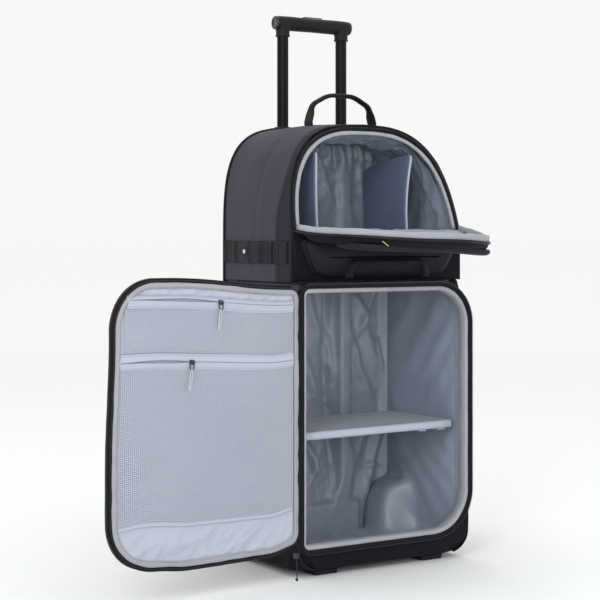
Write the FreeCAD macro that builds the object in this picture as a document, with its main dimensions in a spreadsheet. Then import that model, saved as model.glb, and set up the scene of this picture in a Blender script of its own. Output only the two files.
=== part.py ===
# Wheeled two-compartment gear bag, standing upright and open.
# Origin: on the floor, under the middle of the bag. +X to the bag's right, +Y to its back, +Z up. Millimetres.
import FreeCAD, Part
import math
import os

doc = FreeCAD.newDocument("gear_bag")
vec = FreeCAD.Vector

# ---------------------------------------------------------------- driving dimensions
SIZES = {
    # main body
    "half_width": 195,
    "wall": 6,
    "rear": 145,
    "board_thick": 5,
    "base_low": 8,
    "base_high": 20,
    "deck_low": 547,
    "deck_high": 553,
    "top_height": 850,
    "arch_round": 140,
    "board_round": 120,
    # lower compartment front
    "frame_front": -141,
    "frame_thick": 6,
    "band_front": -149,
    "band_low": 44,
    "band_high": 546,
    "band_half": 203,
    "band_width": 11,
    "hinge_round": 25,
    "free_top_round": 85,
    "free_low_round": 95,
    # upper compartment front
    "upper_front": -110,
    "mouth_low": 648,
    "mouth_lean": 14,
    # main door
    "door_pivot_x": -206.5,
    "door_pivot_y": -150.5,
    "door_open": -174.4,
    "door_wide": 409,
    "door_low": 50,
    "door_high": 556,
    "door_thick": 13,
    "zip_upper": 521,
    "zip_lower": 414,
    "mesh_low": 128,
    # upper flap
    "flap_pivot_y": -111,
    "flap_pivot_z": 650,
    "flap_turn": 187,
    "flap_long": 203,
    "flap_thick": 10,
    "flap_bellows": 20,
    # trolley
    "tube_x": 71.5,
    "tube_y": 124,
    "outer_radius": 14,
    "outer_bore": 12.6,
    "inner_radius": 11.5,
    "inner_bore": 9.5,
    "running_gap": 0.05,
    "bush_long": 30,
    "outer_low": 52,
    "outer_high": 837,
    "inner_low": 690,
    "grip_height": 1069,
    "grip_radius": 15,
    "grip_half": 88,
    # wheels
    "wheel_x": 163,
    "wheel_y": 108,
    "wheel_radius": 41,
    "wheel_wide": 34,
    "rim_radius": 30,
    "bearing_radius": 11,
    "axle_radius": 4,
    "well_inner": 132,
    "well_front": 55,
    "well_high": 98,
    # inside
    "shelf_top": 270,
    "shelf_thick": 15,
    "shelf_front": -109,
    "shelf_rear": 98,
    "divider_x": 108,
    "divider_thick": 9,
}

sheet = doc.addObject("Spreadsheet::Sheet", "Bag")
for row, (alias, value) in enumerate(SIZES.items(), start=1):
    sheet.set(f"A{row}", alias)
    sheet.set(f"B{row}", str(value))
    sheet.setAlias(f"B{row}", alias)
doc.recompute()


def size(alias):
    """A driving dimension as a number, for shapes that are worked out in code."""
    return float(getattr(sheet, alias))


def bound(text):
    """A formula on the sheet: each alias gets the sheet's name in front."""
    words = text.replace("(", " ( ").replace(")", " ) ").split()
    return " ".join(f"Bag.{word}" if word in SIZES else word for word in words)


# ---------------------------------------------------------------- how a piece is made
nodes = []


def new_body(label, keep=True):
    """An empty body for one piece, kept for export under its label unless it only shapes another."""
    body = doc.addObject("PartDesign::Body", label)
    body.Label = label
    if keep:
        nodes.append(body)
    return body


def hollow(label, outer, inner):
    """A ring or shell: one body with another taken out of it."""
    cut = doc.addObject("Part::Cut", label)
    cut.Label = label
    cut.Base = outer
    cut.Tool = inner
    nodes.append(cut)
    doc.recompute()
    return cut


def group(label, bodies):
    """Separate solids of one kind that share a node."""
    compound = doc.addObject("Part::Compound", label)
    compound.Label = label
    compound.Links = bodies
    nodes.append(compound)
    doc.recompute()


def block(body, low, high, cut=False):
    """Adds or cuts a box between two corners, each a tuple of formulas on the sheet."""
    kind = "PartDesign::SubtractiveBox" if cut else "PartDesign::AdditiveBox"
    box = body.newObject(kind, f"{body.Label}_box")
    for side, start, end in zip(("Length", "Width", "Height"), low, high):
        box.setExpression(side, bound(f"( {end} ) - ( {start} )"))
    for axis, start in zip("xyz", low):
        box.setExpression(f"Placement.Base.{axis}", bound(str(start)))
    doc.recompute()
    return box


TURNS = {
    "X": FreeCAD.Rotation(vec(0, 1, 0), 90),
    "Y": FreeCAD.Rotation(vec(1, 0, 0), -90),
    "Z": FreeCAD.Rotation(),
}


def rod(body, start, axis, length, radius, cut=False):
    """Adds or cuts a cylinder that runs from a start point along +X, +Y or +Z."""
    kind = "PartDesign::SubtractiveCylinder" if cut else "PartDesign::AdditiveCylinder"
    cylinder = body.newObject(kind, f"{body.Label}_rod")
    cylinder.Placement = FreeCAD.Placement(vec(), TURNS[axis])
    cylinder.setExpression("Radius", bound(str(radius)))
    cylinder.setExpression("Height", bound(str(length)))
    for letter, place in zip("xyz", start):
        cylinder.setExpression(f"Placement.Base.{letter}", bound(str(place)))
    doc.recompute()
    return cylinder


def soften(body, along, radius, near=None, reach=2.0):
    """Rounds the straight edges that run along an axis, or only those whose middle is near given places.

    near is a list of (axis letters, values) pairs, such as ("xz", (10, 20)).
    """
    last = body.Tip
    names = []
    for number, edge in enumerate(last.Shape.Edges, start=1):
        if edge.Curve.TypeId != "Part::GeomLine":
            continue
        start, end = edge.Vertexes[0].Point, edge.Vertexes[-1].Point
        run = (end - start).normalize()
        if abs(getattr(run, along)) < 0.999:
            continue
        middle = (start + end) * 0.5
        if near is None or any(
            all(abs(getattr(middle, letter) - value) < reach for letter, value in zip(letters, values))
            for letters, values in near
        ):
            names.append(f"Edge{number}")
    fillet = body.newObject("PartDesign::Fillet", f"{body.Label}_round")
    fillet.Base = (last, names)
    fillet.setExpression("Radius", bound(str(radius)))
    doc.recompute()
    return fillet


def place(body, base, axis=None, angle=None):
    """Puts a finished body at a formula position, turned about an axis by a formula angle."""
    turn = FreeCAD.Rotation(axis, 1) if axis else FreeCAD.Rotation()
    body.Placement = FreeCAD.Placement(vec(), turn)
    for letter, formula in zip("xyz", base):
        body.setExpression(f"Placement.Base.{letter}", bound(str(formula)))
    if axis:
        body.setExpression("Placement.Rotation.Angle", bound(str(angle)))
    doc.recompute()


def simple_box(label, low, high):
    body = new_body(label)
    block(body, low, high)
    return body


def strap(label, outline, low, deep):
    """A flat webbing piece: a closed outline of lines and arcs in the XZ plane, extruded along +Y.

    Each outline entry is a point, or a pair (through point, end point) for an arc.
    """
    edges = []
    here = vec(outline[0][0], low, outline[0][1])
    first = here
    for entry in outline[1:]:
        if isinstance(entry[0], tuple):
            through, there = (vec(x, low, z) for x, z in entry)
            edges.append(Part.Arc(here, through, there).toShape())
        else:
            there = vec(entry[0], low, entry[1])
            edges.append(Part.LineSegment(here, there).toShape())
        here = there
    edges.append(Part.LineSegment(here, first).toShape())
    feature = doc.addObject("Part::Feature", label)
    feature.Label = label
    feature.Shape = Part.Face(Part.Wire(edges)).extrude(vec(0, deep, 0))
    nodes.append(feature)
    return feature


SIDES = (("left", -1), ("right", 1))


def span(sign, inner, outer):
    """The low and high X formulas of a stretch from inner to outer on one side of the middle."""
    if sign > 0:
        return f"{inner}", f"{outer}"
    return f"0 - ( {outer} )", f"0 - ( {inner} )"


# ---------------------------------------------------------------- base, feet and back board
# Moulded base tray with rounded front corners and a notch for each wheel well.
body = new_body("base_tray")
block(body, ("0 - half_width + wall", "upper_front", "base_low"),
      ("half_width - wall", "rear - board_thick", "base_high"))
for name, sign in SIDES:
    low, high = span(sign, "well_inner", "half_width")
    block(body, (low, "well_front", "0"), (high, "rear", "base_high + 1"), cut=True)
corner = size("half_width") - size("wall")
soften(body, "z", 70, [("xy", (sign * corner, size("upper_front"))) for name, sign in SIDES])

# Two moulded skids under the front edge of the tray.
FOOT_INNER, FOOT_OUTER, FOOT_FRONT, FOOT_BACK = 98, 152, -118, -66
for name, sign in SIDES:
    low, high = span(sign, str(FOOT_INNER), str(FOOT_OUTER))
    body = new_body(f"front_foot_{name}")
    block(body, (low, str(FOOT_FRONT), "0"), (high, str(FOOT_BACK), "base_low"))
    soften(body, "z", 8)

# Stiff back board with the bag's rounded rear outline and two wheel notches.
body = new_body("back_board")
block(body, ("0 - half_width", "rear - board_thick", "base_low"), ("half_width", "rear", "top_height"))
soften(body, "y", "board_round",
       [("xz", (sign * size("half_width"), size("top_height"))) for name, sign in SIDES])
for name, sign in SIDES:
    low, high = span(sign, "well_inner", "half_width + 1")
    block(body, (low, "rear - board_thick - 1", "0"), (high, "rear + 1", "well_high"), cut=True)

# ---------------------------------------------------------------- wheel wells, wheels and axles
CHEEK = 5
for name, sign in SIDES:
    low, high = span(sign, "well_inner", "half_width")
    body = new_body(f"wheel_well_{name}")
    block(body, (low, "well_front", "base_low"), (high, "rear", "well_high"))
    low, high = span(sign, f"well_inner + {CHEEK}", f"half_width - {CHEEK}")
    block(body, (low, f"well_front + {CHEEK}", "base_low - 1"), (high, "rear + 1", f"well_high - {CHEEK}"), cut=True)
    start = span(sign, "well_inner - 1", "half_width + 1")[0]
    rod(body, (start, "wheel_y", "wheel_radius"), "X", "half_width - well_inner + 2", "axle_radius", cut=True)

    body = new_body(f"axle_bolt_{name}")
    start = span(sign, "well_inner", "half_width")[0]
    rod(body, (start, "wheel_y", "wheel_radius"), "X", "half_width - well_inner", "axle_radius")
    head_out = 3
    start = span(sign, "half_width", f"half_width + {head_out}")[0]
    rod(body, (start, "wheel_y", "wheel_radius"), "X", str(head_out), "axle_radius * 2")

    body = new_body(f"wheel_tyre_{name}")
    low, high = span(sign, "wheel_x - wheel_wide / 2", "wheel_x + wheel_wide / 2")
    rod(body, (low, "wheel_y", "wheel_radius"), "X", "wheel_wide", "wheel_radius")
    rod(body, (f"{low} - 1", "wheel_y", "wheel_radius"), "X", "wheel_wide + 2", "rim_radius", cut=True)

    body = new_body(f"wheel_hub_{name}")
    rim_wide = 28
    low, high = span(sign, f"wheel_x - {rim_wide / 2}", f"wheel_x + {rim_wide / 2}")
    rod(body, (low, "wheel_y", "wheel_radius"), "X", str(rim_wide), "rim_radius")
    rod(body, (f"{low} - 1", "wheel_y", "wheel_radius"), "X", f"{rim_wide + 2}", "bearing_radius", cut=True)

    bearing_wide = 7
    rings = []
    for end, offset in (("inner", -rim_wide / 2), ("outer", rim_wide / 2 - bearing_wide)):
        body = new_body(f"bearing_{end}_{name}", keep=False)
        low, high = span(sign, f"wheel_x + {offset}", f"wheel_x + {offset + bearing_wide}")
        rod(body, (low, "wheel_y", "wheel_radius"), "X", str(bearing_wide), "bearing_radius")
        rod(body, (f"{low} - 1", "wheel_y", "wheel_radius"), "X", f"{bearing_wide + 2}",
            "axle_radius + running_gap", cut=True)
        rings.append(body)
    group(f"wheel_bearings_{name}", rings)

# ---------------------------------------------------------------- lower compartment
for name, sign in SIDES:
    low, high = span(sign, "half_width - wall", "half_width")
    body = new_body(f"lower_side_{name}")
    block(body, (low, "frame_front + frame_thick", "base_high"), (high, "rear - board_thick", "deck_low"))
    low, high = span(sign, "half_width - wall - 1", "half_width + 1")
    block(body, (low, "well_front", "0"), (high, "rear", "well_high"), cut=True)


def opening_block(body, inset, front, back, cut=False):
    """Adds or cuts a box with the shape of the lower opening, set in from the zip band's outside."""
    block(body, (f"0 - band_half + {inset}", front, f"band_low + {inset}"),
          (f"band_half - {inset}", back, f"band_high - {inset}"), cut)


def opening_rounds(body, inset):
    """Rounds the four corners: small ones at the hinge side, large ones at the free side."""
    half = size("band_half") - inset
    low = size("band_low") + inset
    high = size("band_high") - inset
    soften(body, "y", f"hinge_round - {inset}", [("xz", (-half, low)), ("xz", (-half, high))])
    soften(body, "y", f"free_top_round - {inset}", [("xz", (half, high))])
    soften(body, "y", f"free_low_round - {inset}", [("xz", (half, low))])


# Front face of the lower compartment: a flat frame around the opening, with softened bottom corners.
FRAME_LOW, FRAME_CORNER = 22, 45
body = new_body("lower_front_frame")
block(body, ("0 - half_width - 3", "frame_front", str(FRAME_LOW)),
      ("half_width + 3", "frame_front + frame_thick", "deck_low"))
soften(body, "y", FRAME_CORNER, [("xz", (sign * (size("half_width") + 3), FRAME_LOW)) for name, sign in SIDES])
opening_block(body, "band_width", "frame_front - 1", "frame_front + frame_thick + 1", cut=True)
opening_rounds(body, size("band_width"))

# Zip band and binding that stand proud around the opening.
outer = new_body("lower_zip_band_outer", keep=False)
opening_block(outer, "0", "band_front", "frame_front")
opening_rounds(outer, 0)
inner = new_body("lower_zip_band_inner", keep=False)
opening_block(inner, "band_width", "band_front - 1", "frame_front + 1")
opening_rounds(inner, size("band_width"))
hollow("lower_zip_band", outer, inner)

# Fabric skirt under the frame, tucked back to the tray.
body = new_body("front_skirt")
block(body, ("0 - half_width + 30", "frame_front + frame_thick", "base_high"),
      ("half_width - 30", "upper_front", "band_low + band_width"))
soften(body, "x", 14, [("yz", (size("frame_front") + size("frame_thick"), size("base_high")))])

# Deck between the two compartments; it also closes the step at the front.
body = new_body("middle_deck")
block(body, ("0 - half_width", "frame_front", "deck_low"), ("half_width", "rear - board_thick", "deck_high"))
for name, sign in SIDES:
    rod(body, (f"{sign} * tube_x", "tube_y", "deck_low - 1"), "Z", "deck_high - deck_low + 2", "outer_radius", cut=True)

# Cloth covers over the trolley tubes, on the rear wall of both compartments.
COVER_HALF, COVER_FRONT, COVER_BACK, COVER_LOW = 19, 104, 108.5, 74
covers = []
for name, sign in SIDES:
    low, high = span(sign, f"tube_x - {COVER_HALF}", f"tube_x + {COVER_HALF}")
    body = new_body(f"tube_cover_{name}", keep=False)
    block(body, (low, str(COVER_FRONT), str(COVER_LOW)), (high, str(COVER_BACK), "deck_low - 2"))
    covers.append(body)
group("tube_covers", covers)

# ---------------------------------------------------------------- upper compartment
MOUTH_BACK = 400


def lean_cut(body):
    """Cuts everything in front of the leaning plane of the upper opening."""
    box = body.newObject("PartDesign::SubtractiveBox", f"{body.Label}_mouth")
    box.Length = 2 * MOUTH_BACK
    box.Width = MOUTH_BACK
    box.Height = MOUTH_BACK
    lean = math.radians(size("mouth_lean"))
    box.Placement = FreeCAD.Placement(
        vec(
            -MOUTH_BACK,
            size("upper_front") - MOUTH_BACK * math.cos(lean),
            size("mouth_low") + MOUTH_BACK * math.sin(lean),
        ),
        FreeCAD.Rotation(vec(1, 0, 0), -size("mouth_lean")),
    )
    doc.recompute()


def arch_block(body, low, inset, front, back):
    """The dome profile of the upper compartment, set in by an amount all round."""
    block(body, (f"0 - half_width + {inset}", front, low),
          (f"half_width - {inset}", back, f"top_height - {inset}"))
    half = size("half_width") - inset
    high = size("top_height") - inset
    soften(body, "y", f"arch_round - {inset}", [("xz", (sign * half, high)) for name, sign in SIDES])


# Side-and-top gusset of the upper compartment: one bent panel, in a rear and a front band.
for label, front, back in (
    ("upper_gusset", "0 - 55", "rear - board_thick"),
    ("upper_front_band", "upper_front", "0 - 55"),
):
    outer = new_body(f"{label}_outer", keep=False)
    arch_block(outer, "deck_high", 0, front, back)
    lean_cut(outer)
    inner = new_body(f"{label}_inner", keep=False)
    arch_block(inner, "deck_high - 1", size("wall"), f"{front} - 1", f"{back} + 1")
    if label == "upper_gusset":
        for name, sign in SIDES:
            rod(inner, (f"{sign} * tube_x", "tube_y", "top_height - wall - 20"), "Z", "wall + 21", "inner_radius + 0.5")
    hollow(label, outer, inner)

# Fixed front panel below the opening, with a tapered organiser pocket on it.
body = simple_box("upper_front_panel", ("0 - half_width + wall", "upper_front", "deck_high"),
                  ("half_width - wall", "upper_front + wall", "mouth_low"))

POCKET_FRONT, POCKET_LOW, POCKET_HIGH = -140, 556, 630
POCKET_HALF_TOP, POCKET_HALF_LOW = 184, 162
strap("front_pocket",
      [(-POCKET_HALF_TOP, POCKET_HIGH), (POCKET_HALF_TOP, POCKET_HIGH),
       (POCKET_HALF_LOW, POCKET_LOW), (-POCKET_HALF_LOW, POCKET_LOW)],
      POCKET_FRONT, size("upper_front") - POCKET_FRONT)

# ---------------------------------------------------------------- carry handles
# Top handle: two upright legs and a bowed grip, webbing 25 mm wide and folded to 6 mm. It starts where the
# sewn-down ends of the webbing bend up from the top panel.
WEB = 6
HANDLE_ROOT = 864
strap("carry_handle",
      [(-77, HANDLE_ROOT), (-72, 885), ((0, 918), (72, 885)), (77, HANDLE_ROOT),
       (77 - WEB, HANDLE_ROOT), (72 - WEB, 885 - WEB / 2), ((0, 918 - WEB), (WEB - 72, 885 - WEB / 2)),
       (WEB - 77, HANDLE_ROOT)],
      7.5, 25)

# Front grab handle: a flat loop lying against the organiser pocket.
strap("grab_handle",
      [(-96, 566), (-82, 592), (82, 592), (96, 566), (80, 566), (74, 578), (-74, 578), (-80, 566)],
      POCKET_FRONT - 5, 4.5)

# Padded side handle band, sewn flat to the left side.
HANDLE_OUT = 4
body = simple_box("side_handle", (f"0 - half_width - {HANDLE_OUT}", "0 - 48", "586"),
                  ("0 - half_width", "rear - board_thick - 2", "626"))

# ---------------------------------------------------------------- trolley handle
# Moulded collar plate where the tubes leave the top of the bag.
body = new_body("tube_collar")
block(body, ("0 - tube_x - 24", "tube_y - 19", "top_height"), ("tube_x + 24", "rear - board_thick", "top_height + 5"))
soften(body, "z", 8)
for name, sign in SIDES:
    centre = f"{sign} * tube_x"
    rod(body, (centre, "tube_y", "top_height - 1"), "Z", "10", "inner_radius + 0.5", cut=True)

body = new_body("tube_bracket")
block(body, ("0 - tube_x - 22", "tube_y - 16", "outer_low - 22"), ("tube_x + 22", "rear - board_thick", "outer_low"))
soften(body, "z", 6)

for name, sign in SIDES:
    centre = f"{sign} * tube_x"
    body = new_body(f"outer_tube_{name}")
    rod(body, (centre, "tube_y", "outer_low"), "Z", "outer_high - outer_low", "outer_radius")
    rod(body, (centre, "tube_y", "outer_low - 1"), "Z", "top_height - outer_low + 2", "outer_bore", cut=True)

    body = new_body(f"guide_bush_{name}")
    rod(body, (centre, "tube_y", "outer_high - bush_long"), "Z", "bush_long", "outer_bore")
    rod(body, (centre, "tube_y", "outer_high - bush_long - 1"), "Z", "bush_long + 2",
        "inner_radius + running_gap", cut=True)

    body = new_body(f"inner_tube_{name}")
    rod(body, (centre, "tube_y", "inner_low"), "Z", "grip_height - grip_radius - inner_low", "inner_radius")
    rod(body, (centre, "tube_y", "inner_low - 1"), "Z", "grip_height - inner_low + 2", "inner_bore", cut=True)

    # Plastic foot that holds the lock plunger and runs in the outer tube.
    body = new_body(f"lock_foot_{name}")
    rod(body, (centre, "tube_y", "inner_low - 18"), "Z", "18", "outer_bore - running_gap")
    rod(body, (centre, "tube_y", "inner_low"), "Z", "14", "inner_bore")

# Grip: a bar between two elbows that take the tubes from below.
ELBOW_RADIUS, ELBOW_DROP = 14, 12
BUTTON_HALF, BUTTON_DEEP = 22, 9
body = new_body("grip")
rod(body, ("0 - grip_half", "tube_y", "grip_height"), "X", "grip_half * 2", "grip_radius")
for name, sign in SIDES:
    rod(body, (f"{sign} * tube_x", "tube_y", f"grip_height - grip_radius - {ELBOW_DROP}"), "Z",
        f"{ELBOW_DROP} + grip_radius", str(ELBOW_RADIUS))
    rod(body, (f"{sign} * tube_x", "tube_y", f"grip_height - grip_radius - {ELBOW_DROP} - 1"), "Z",
        f"{ELBOW_DROP} + 1", "inner_radius", cut=True)
block(body, (f"0 - {BUTTON_HALF + 0.4}", "tube_y - 7.4", f"grip_height + grip_radius - {BUTTON_DEEP}"),
      (f"{BUTTON_HALF + 0.4}", "tube_y + 7.4", "grip_height + grip_radius + 1"), cut=True)

for name, sign in SIDES:
    low, high = span(sign, "grip_half", "grip_half + 4")
    body = new_body(f"grip_cap_{name}")
    rod(body, (low, "tube_y", "grip_height"), "X", "4", "grip_radius - 1")

# Release button, flush with the top of the grip, with room to travel down.
BUTTON_TRAVEL = 4
body = new_body("release_button")
block(body, (f"0 - {BUTTON_HALF}", "tube_y - 7", f"grip_height + grip_radius - {BUTTON_DEEP - BUTTON_TRAVEL - 0.5}"),
      (str(BUTTON_HALF), "tube_y + 7", "grip_height + grip_radius + 1"))
soften(body, "z", 4)

# ---------------------------------------------------------------- shelf and dividers
body = simple_box("shelf", ("0 - half_width + wall + 3", "shelf_front", "shelf_top - shelf_thick"),
                  ("half_width - wall - 3", "shelf_rear", "shelf_top"))

DIVIDER_FRONT, DIVIDER_REAR, DIVIDER_TOP, DIVIDER_ROUND = -78, 98, 806, 38
for name, sign in SIDES:
    low, high = span(sign, "divider_x - divider_thick / 2", "divider_x + divider_thick / 2")
    body = new_body(f"divider_{name}")
    block(body, (low, str(DIVIDER_FRONT), "deck_high + 1"), (high, str(DIVIDER_REAR), str(DIVIDER_TOP)))
    soften(body, "x", DIVIDER_ROUND, [("yz", (DIVIDER_FRONT, DIVIDER_TOP))])

# ---------------------------------------------------------------- main door
# Drawn shut, with the hinge line as its own origin and +X across the opening, then swung open.
DOOR_BINDING = 10


def on_door(body):
    place(body, ("door_pivot_x", "door_pivot_y", "0"), vec(0, 0, 1), "door_open")


def door_block(body, inset, front, back, cut=False):
    """A box with the door's outline, set in from its edge, with the hinge side square enough to sew."""
    block(body, (f"1 + {inset}", front, f"door_low + {inset}"),
          (f"door_wide - {inset}", back, f"door_high - {inset}"), cut)
    low, high = size("door_low") + inset, size("door_high") - inset
    soften(body, "y", f"hinge_round - {inset}", [("xz", (1 + inset, low)), ("xz", (1 + inset, high))])
    soften(body, "y", f"free_top_round - {inset}", [("xz", (size("door_wide") - inset, high))])
    soften(body, "y", f"free_low_round - {inset}", [("xz", (size("door_wide") - inset, low))])


def thin_hinge_side(body):
    """Leaves only a thin sewn edge beside the hinge, so that the open door can fold back."""
    block(body, ("0", "0 - door_thick - 1", "door_low - 1"), (str(HINGE_STRIP), "0 - 3", "door_high + 1"), cut=True)


HINGE_STRIP = 16
body = new_body("door_panel")
door_block(body, DOOR_BINDING, "0 - door_thick", "0 - 3")
thin_hinge_side(body)
on_door(body)

outer = new_body("door_zip_rim_outer", keep=False)
door_block(outer, 0, "0 - door_thick", "0")
thin_hinge_side(outer)
inner = new_body("door_zip_rim_inner", keep=False)
door_block(inner, DOOR_BINDING, "0 - door_thick - 1", "1")
on_door(outer)
on_door(inner)
hollow("door_zip_rim", outer, inner)

# Two mesh pockets on the inside of the door, closed by straight zips across the full width.
MESH_BACK, MESH_FRONT = -1.5, -3
for label, low, high, end in (
    ("door_mesh_upper", "zip_lower + 4", "zip_upper - 4", 24),
    ("door_mesh_lower", "mesh_low", "zip_lower - 4", 14),
):
    simple_box(label, (f"{DOOR_BINDING} + 1", str(MESH_FRONT), low),
               (f"door_wide - {DOOR_BINDING} - {end}", str(MESH_BACK), high))
    on_door(nodes[-1])
for label, level, end in (("pocket_zip_upper", "zip_upper", 30), ("pocket_zip_lower", "zip_lower", 12)):
    simple_box(label, (f"{DOOR_BINDING} + 1", str(MESH_FRONT), f"{level} - 4"),
               (f"door_wide - {DOOR_BINDING} - {end}", str(MESH_BACK), f"{level} + 4"))
    on_door(nodes[-1])

# Each pocket zip has a slider on its face and a puller that hangs from the slider.
SLIDER_HALF, SLIDER_HIGH, SLIDER_OUT = 6, 9, 4
PULL_GAP, PULL_THICK, PULL_HALF, PULL_LONG = 0.4, 2, 4, 46
for name, level, along in (("upper", "zip_upper", 184), ("lower", "zip_lower", 247)):
    body = simple_box(f"zip_slider_{name}",
                      (f"{along - SLIDER_HALF}", f"{MESH_BACK + 0.3}", f"{level} - {SLIDER_HIGH / 2}"),
                      (f"{along + SLIDER_HALF}", f"{MESH_BACK + SLIDER_OUT}", f"{level} + {SLIDER_HIGH / 2}"))
    on_door(body)
    back = MESH_BACK + SLIDER_OUT + PULL_GAP
    body = simple_box(f"zip_puller_{name}",
                      (f"{along - PULL_HALF}", f"{back}", f"{level} - {PULL_LONG}"),
                      (f"{along + PULL_HALF}", f"{back + PULL_THICK}", f"{level} + 3"))
    on_door(body)

# ---------------------------------------------------------------- upper flap
# Drawn flat from the hinge line along +Y with its outside up, then turned over to hang level and outside down.
def on_flap(body):
    place(body, ("0", "flap_pivot_y", "flap_pivot_z"), vec(1, 0, 0), "flap_turn")


body = new_body("flap_panel")
block(body, ("0 - half_width", "2", "0.4"), ("half_width", "flap_long", "flap_thick"))
soften(body, "z", "arch_round", [("xy", (sign * size("half_width"), size("flap_long"))) for name, sign in SIDES])
on_flap(body)

FLAP_POCKET_HALF, FLAP_POCKET_NEAR = 150, 46
body = new_body("flap_pocket")
block(body, (f"0 - {FLAP_POCKET_HALF}", str(FLAP_POCKET_NEAR), "flap_thick"),
      (str(FLAP_POCKET_HALF), "flap_long - 12", "flap_thick + flap_bellows"))
soften(body, "z", 90, [("xy", (sign * FLAP_POCKET_HALF, size("flap_long") - 12)) for name, sign in SIDES])
on_flap(body)

# ---------------------------------------------------------------- cord on the main zip's lower slider
# The slider is parked on the door's lower hinge corner, and a thin knotted cord hangs from it towards the floor.
SLIDER_LOW = 44
body = simple_box("main_zip_slider", ("1", "0 - 9", str(SLIDER_LOW)), ("9", "0 - 1", f"{SLIDER_LOW} + 10"))
on_door(body)


def cord_solid(label, route, radius):
    """A round cord along straight runs joined by tangent arcs, each as large as its two runs allow."""
    points = [vec(*point) for point in route]
    edges = []
    here = points[0]
    for before, corner, after in zip(points, points[1:], points[2:]):
        to_before, to_after = before - corner, after - corner
        run = min(to_before.Length, to_after.Length)
        turn = math.pi - to_before.getAngle(to_after)
        trim = 0.45 * run
        print(f"{label}: arc radius {trim / math.tan(turn / 2):.1f} mm")
        start = corner + to_before.normalize() * trim
        end = corner + to_after.normalize() * trim
        inward = (start + end) * 0.5 - corner
        bend = trim / math.tan(turn / 2)
        centre = corner + inward.normalize() * math.hypot(trim, bend)
        through = centre + (corner - centre).normalize() * bend
        edges.append(Part.LineSegment(here, start).toShape())
        edges.append(Part.Arc(start, through, end).toShape())
        here = end
    edges.append(Part.LineSegment(here, points[-1]).toShape())
    path = Part.Wire(edges)
    ring = Part.Wire([Part.makeCircle(radius, points[0], points[1] - points[0])])
    solid = path.makePipeShell([ring], True, True)
    feature = doc.addObject("Part::Feature", label)
    feature.Label = label
    feature.Shape = solid
    nodes.append(feature)
    print(f"{label}: length {path.Length:.1f} mm, volume against section times length "
          f"{solid.Volume / (math.pi * radius ** 2 * path.Length):.3f}")


CORD_RADIUS = 1.1
CORD_ROUTE = [
    (-211.5, -146, SLIDER_LOW), (-211.5, -147, 35), (-213, -150.5, 26), (-216.5, -156, 17.5), (-220, -161, 11),
]
KNOT_RADIUS = 3
cord_solid("zip_pull_cord", CORD_ROUTE, CORD_RADIUS)
last, before = vec(*CORD_ROUTE[-1]), vec(*CORD_ROUTE[-2])
knot = doc.addObject("Part::Sphere", "cord_knot")
knot.Label = "cord_knot"
knot.Radius = KNOT_RADIUS
knot.Placement = FreeCAD.Placement(last + (last - before).normalize() * KNOT_RADIUS, FreeCAD.Rotation())
nodes.append(knot)

# ---------------------------------------------------------------- check and write
doc.recompute()
os.makedirs("parts", exist_ok=True)
problems = []
for item in doc.Objects:
    if any(word in item.State for word in ("Invalid", "Error")):
        problems.append(f"{item.Name} is {item.State}")
for piece in nodes:
    if piece.Shape.isNull() or not piece.Shape.isValid() or piece.Shape.Volume <= 0:
        problems.append(f"{piece.Label} has no valid shape")
if problems:
    raise SystemExit("\n".join(problems))
for piece in nodes:
    piece.Shape.exportStep(os.path.join("parts", f"{piece.Label}.step"))
print(f"{len(nodes)} parts written")
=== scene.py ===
import bmesh
import bpy
import math
from mathutils import Matrix, Vector, noise


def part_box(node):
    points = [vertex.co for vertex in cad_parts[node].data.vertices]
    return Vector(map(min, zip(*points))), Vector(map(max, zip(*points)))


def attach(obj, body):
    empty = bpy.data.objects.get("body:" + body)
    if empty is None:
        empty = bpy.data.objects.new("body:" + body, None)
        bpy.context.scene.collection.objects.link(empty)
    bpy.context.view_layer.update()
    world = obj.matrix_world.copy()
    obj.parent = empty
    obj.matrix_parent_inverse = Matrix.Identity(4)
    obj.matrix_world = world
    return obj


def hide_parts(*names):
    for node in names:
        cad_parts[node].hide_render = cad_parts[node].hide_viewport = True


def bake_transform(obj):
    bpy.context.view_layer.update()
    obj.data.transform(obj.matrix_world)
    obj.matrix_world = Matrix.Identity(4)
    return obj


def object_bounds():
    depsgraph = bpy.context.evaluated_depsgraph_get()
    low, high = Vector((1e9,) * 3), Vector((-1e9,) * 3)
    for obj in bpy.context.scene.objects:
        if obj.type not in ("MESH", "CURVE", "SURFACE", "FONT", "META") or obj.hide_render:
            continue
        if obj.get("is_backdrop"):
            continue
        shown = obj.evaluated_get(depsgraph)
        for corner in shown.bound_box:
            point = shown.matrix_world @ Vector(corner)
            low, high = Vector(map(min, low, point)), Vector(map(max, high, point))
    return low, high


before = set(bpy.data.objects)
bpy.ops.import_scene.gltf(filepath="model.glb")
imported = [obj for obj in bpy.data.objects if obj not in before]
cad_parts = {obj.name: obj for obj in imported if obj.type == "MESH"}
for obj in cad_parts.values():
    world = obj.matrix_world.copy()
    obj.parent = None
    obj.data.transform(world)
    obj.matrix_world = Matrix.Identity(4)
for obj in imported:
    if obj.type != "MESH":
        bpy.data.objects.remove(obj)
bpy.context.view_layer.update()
MM = 0.001

# ------------------------------------------------------------------ camera, lights and floor
# A long lens at hip height, level, to the left of the bag's front. The studio is a plain white sweep with
# a large soft source in front on the left, weaker ones in front and on the right, and one overhead.
scene = bpy.context.scene
scene.view_settings.view_transform = "Standard"

eye = bpy.data.cameras.new("view")
eye.lens = 93.8
eye.sensor_width = 36
eye.shift_y = -0.107
camera = bpy.data.objects.new("view", eye)
camera.location = (-1.7618, -2.5667, 0.6371)
camera.rotation_euler = (math.radians(90), 0, math.radians(-32.77))
scene.collection.objects.link(camera)
scene.camera = camera


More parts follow.
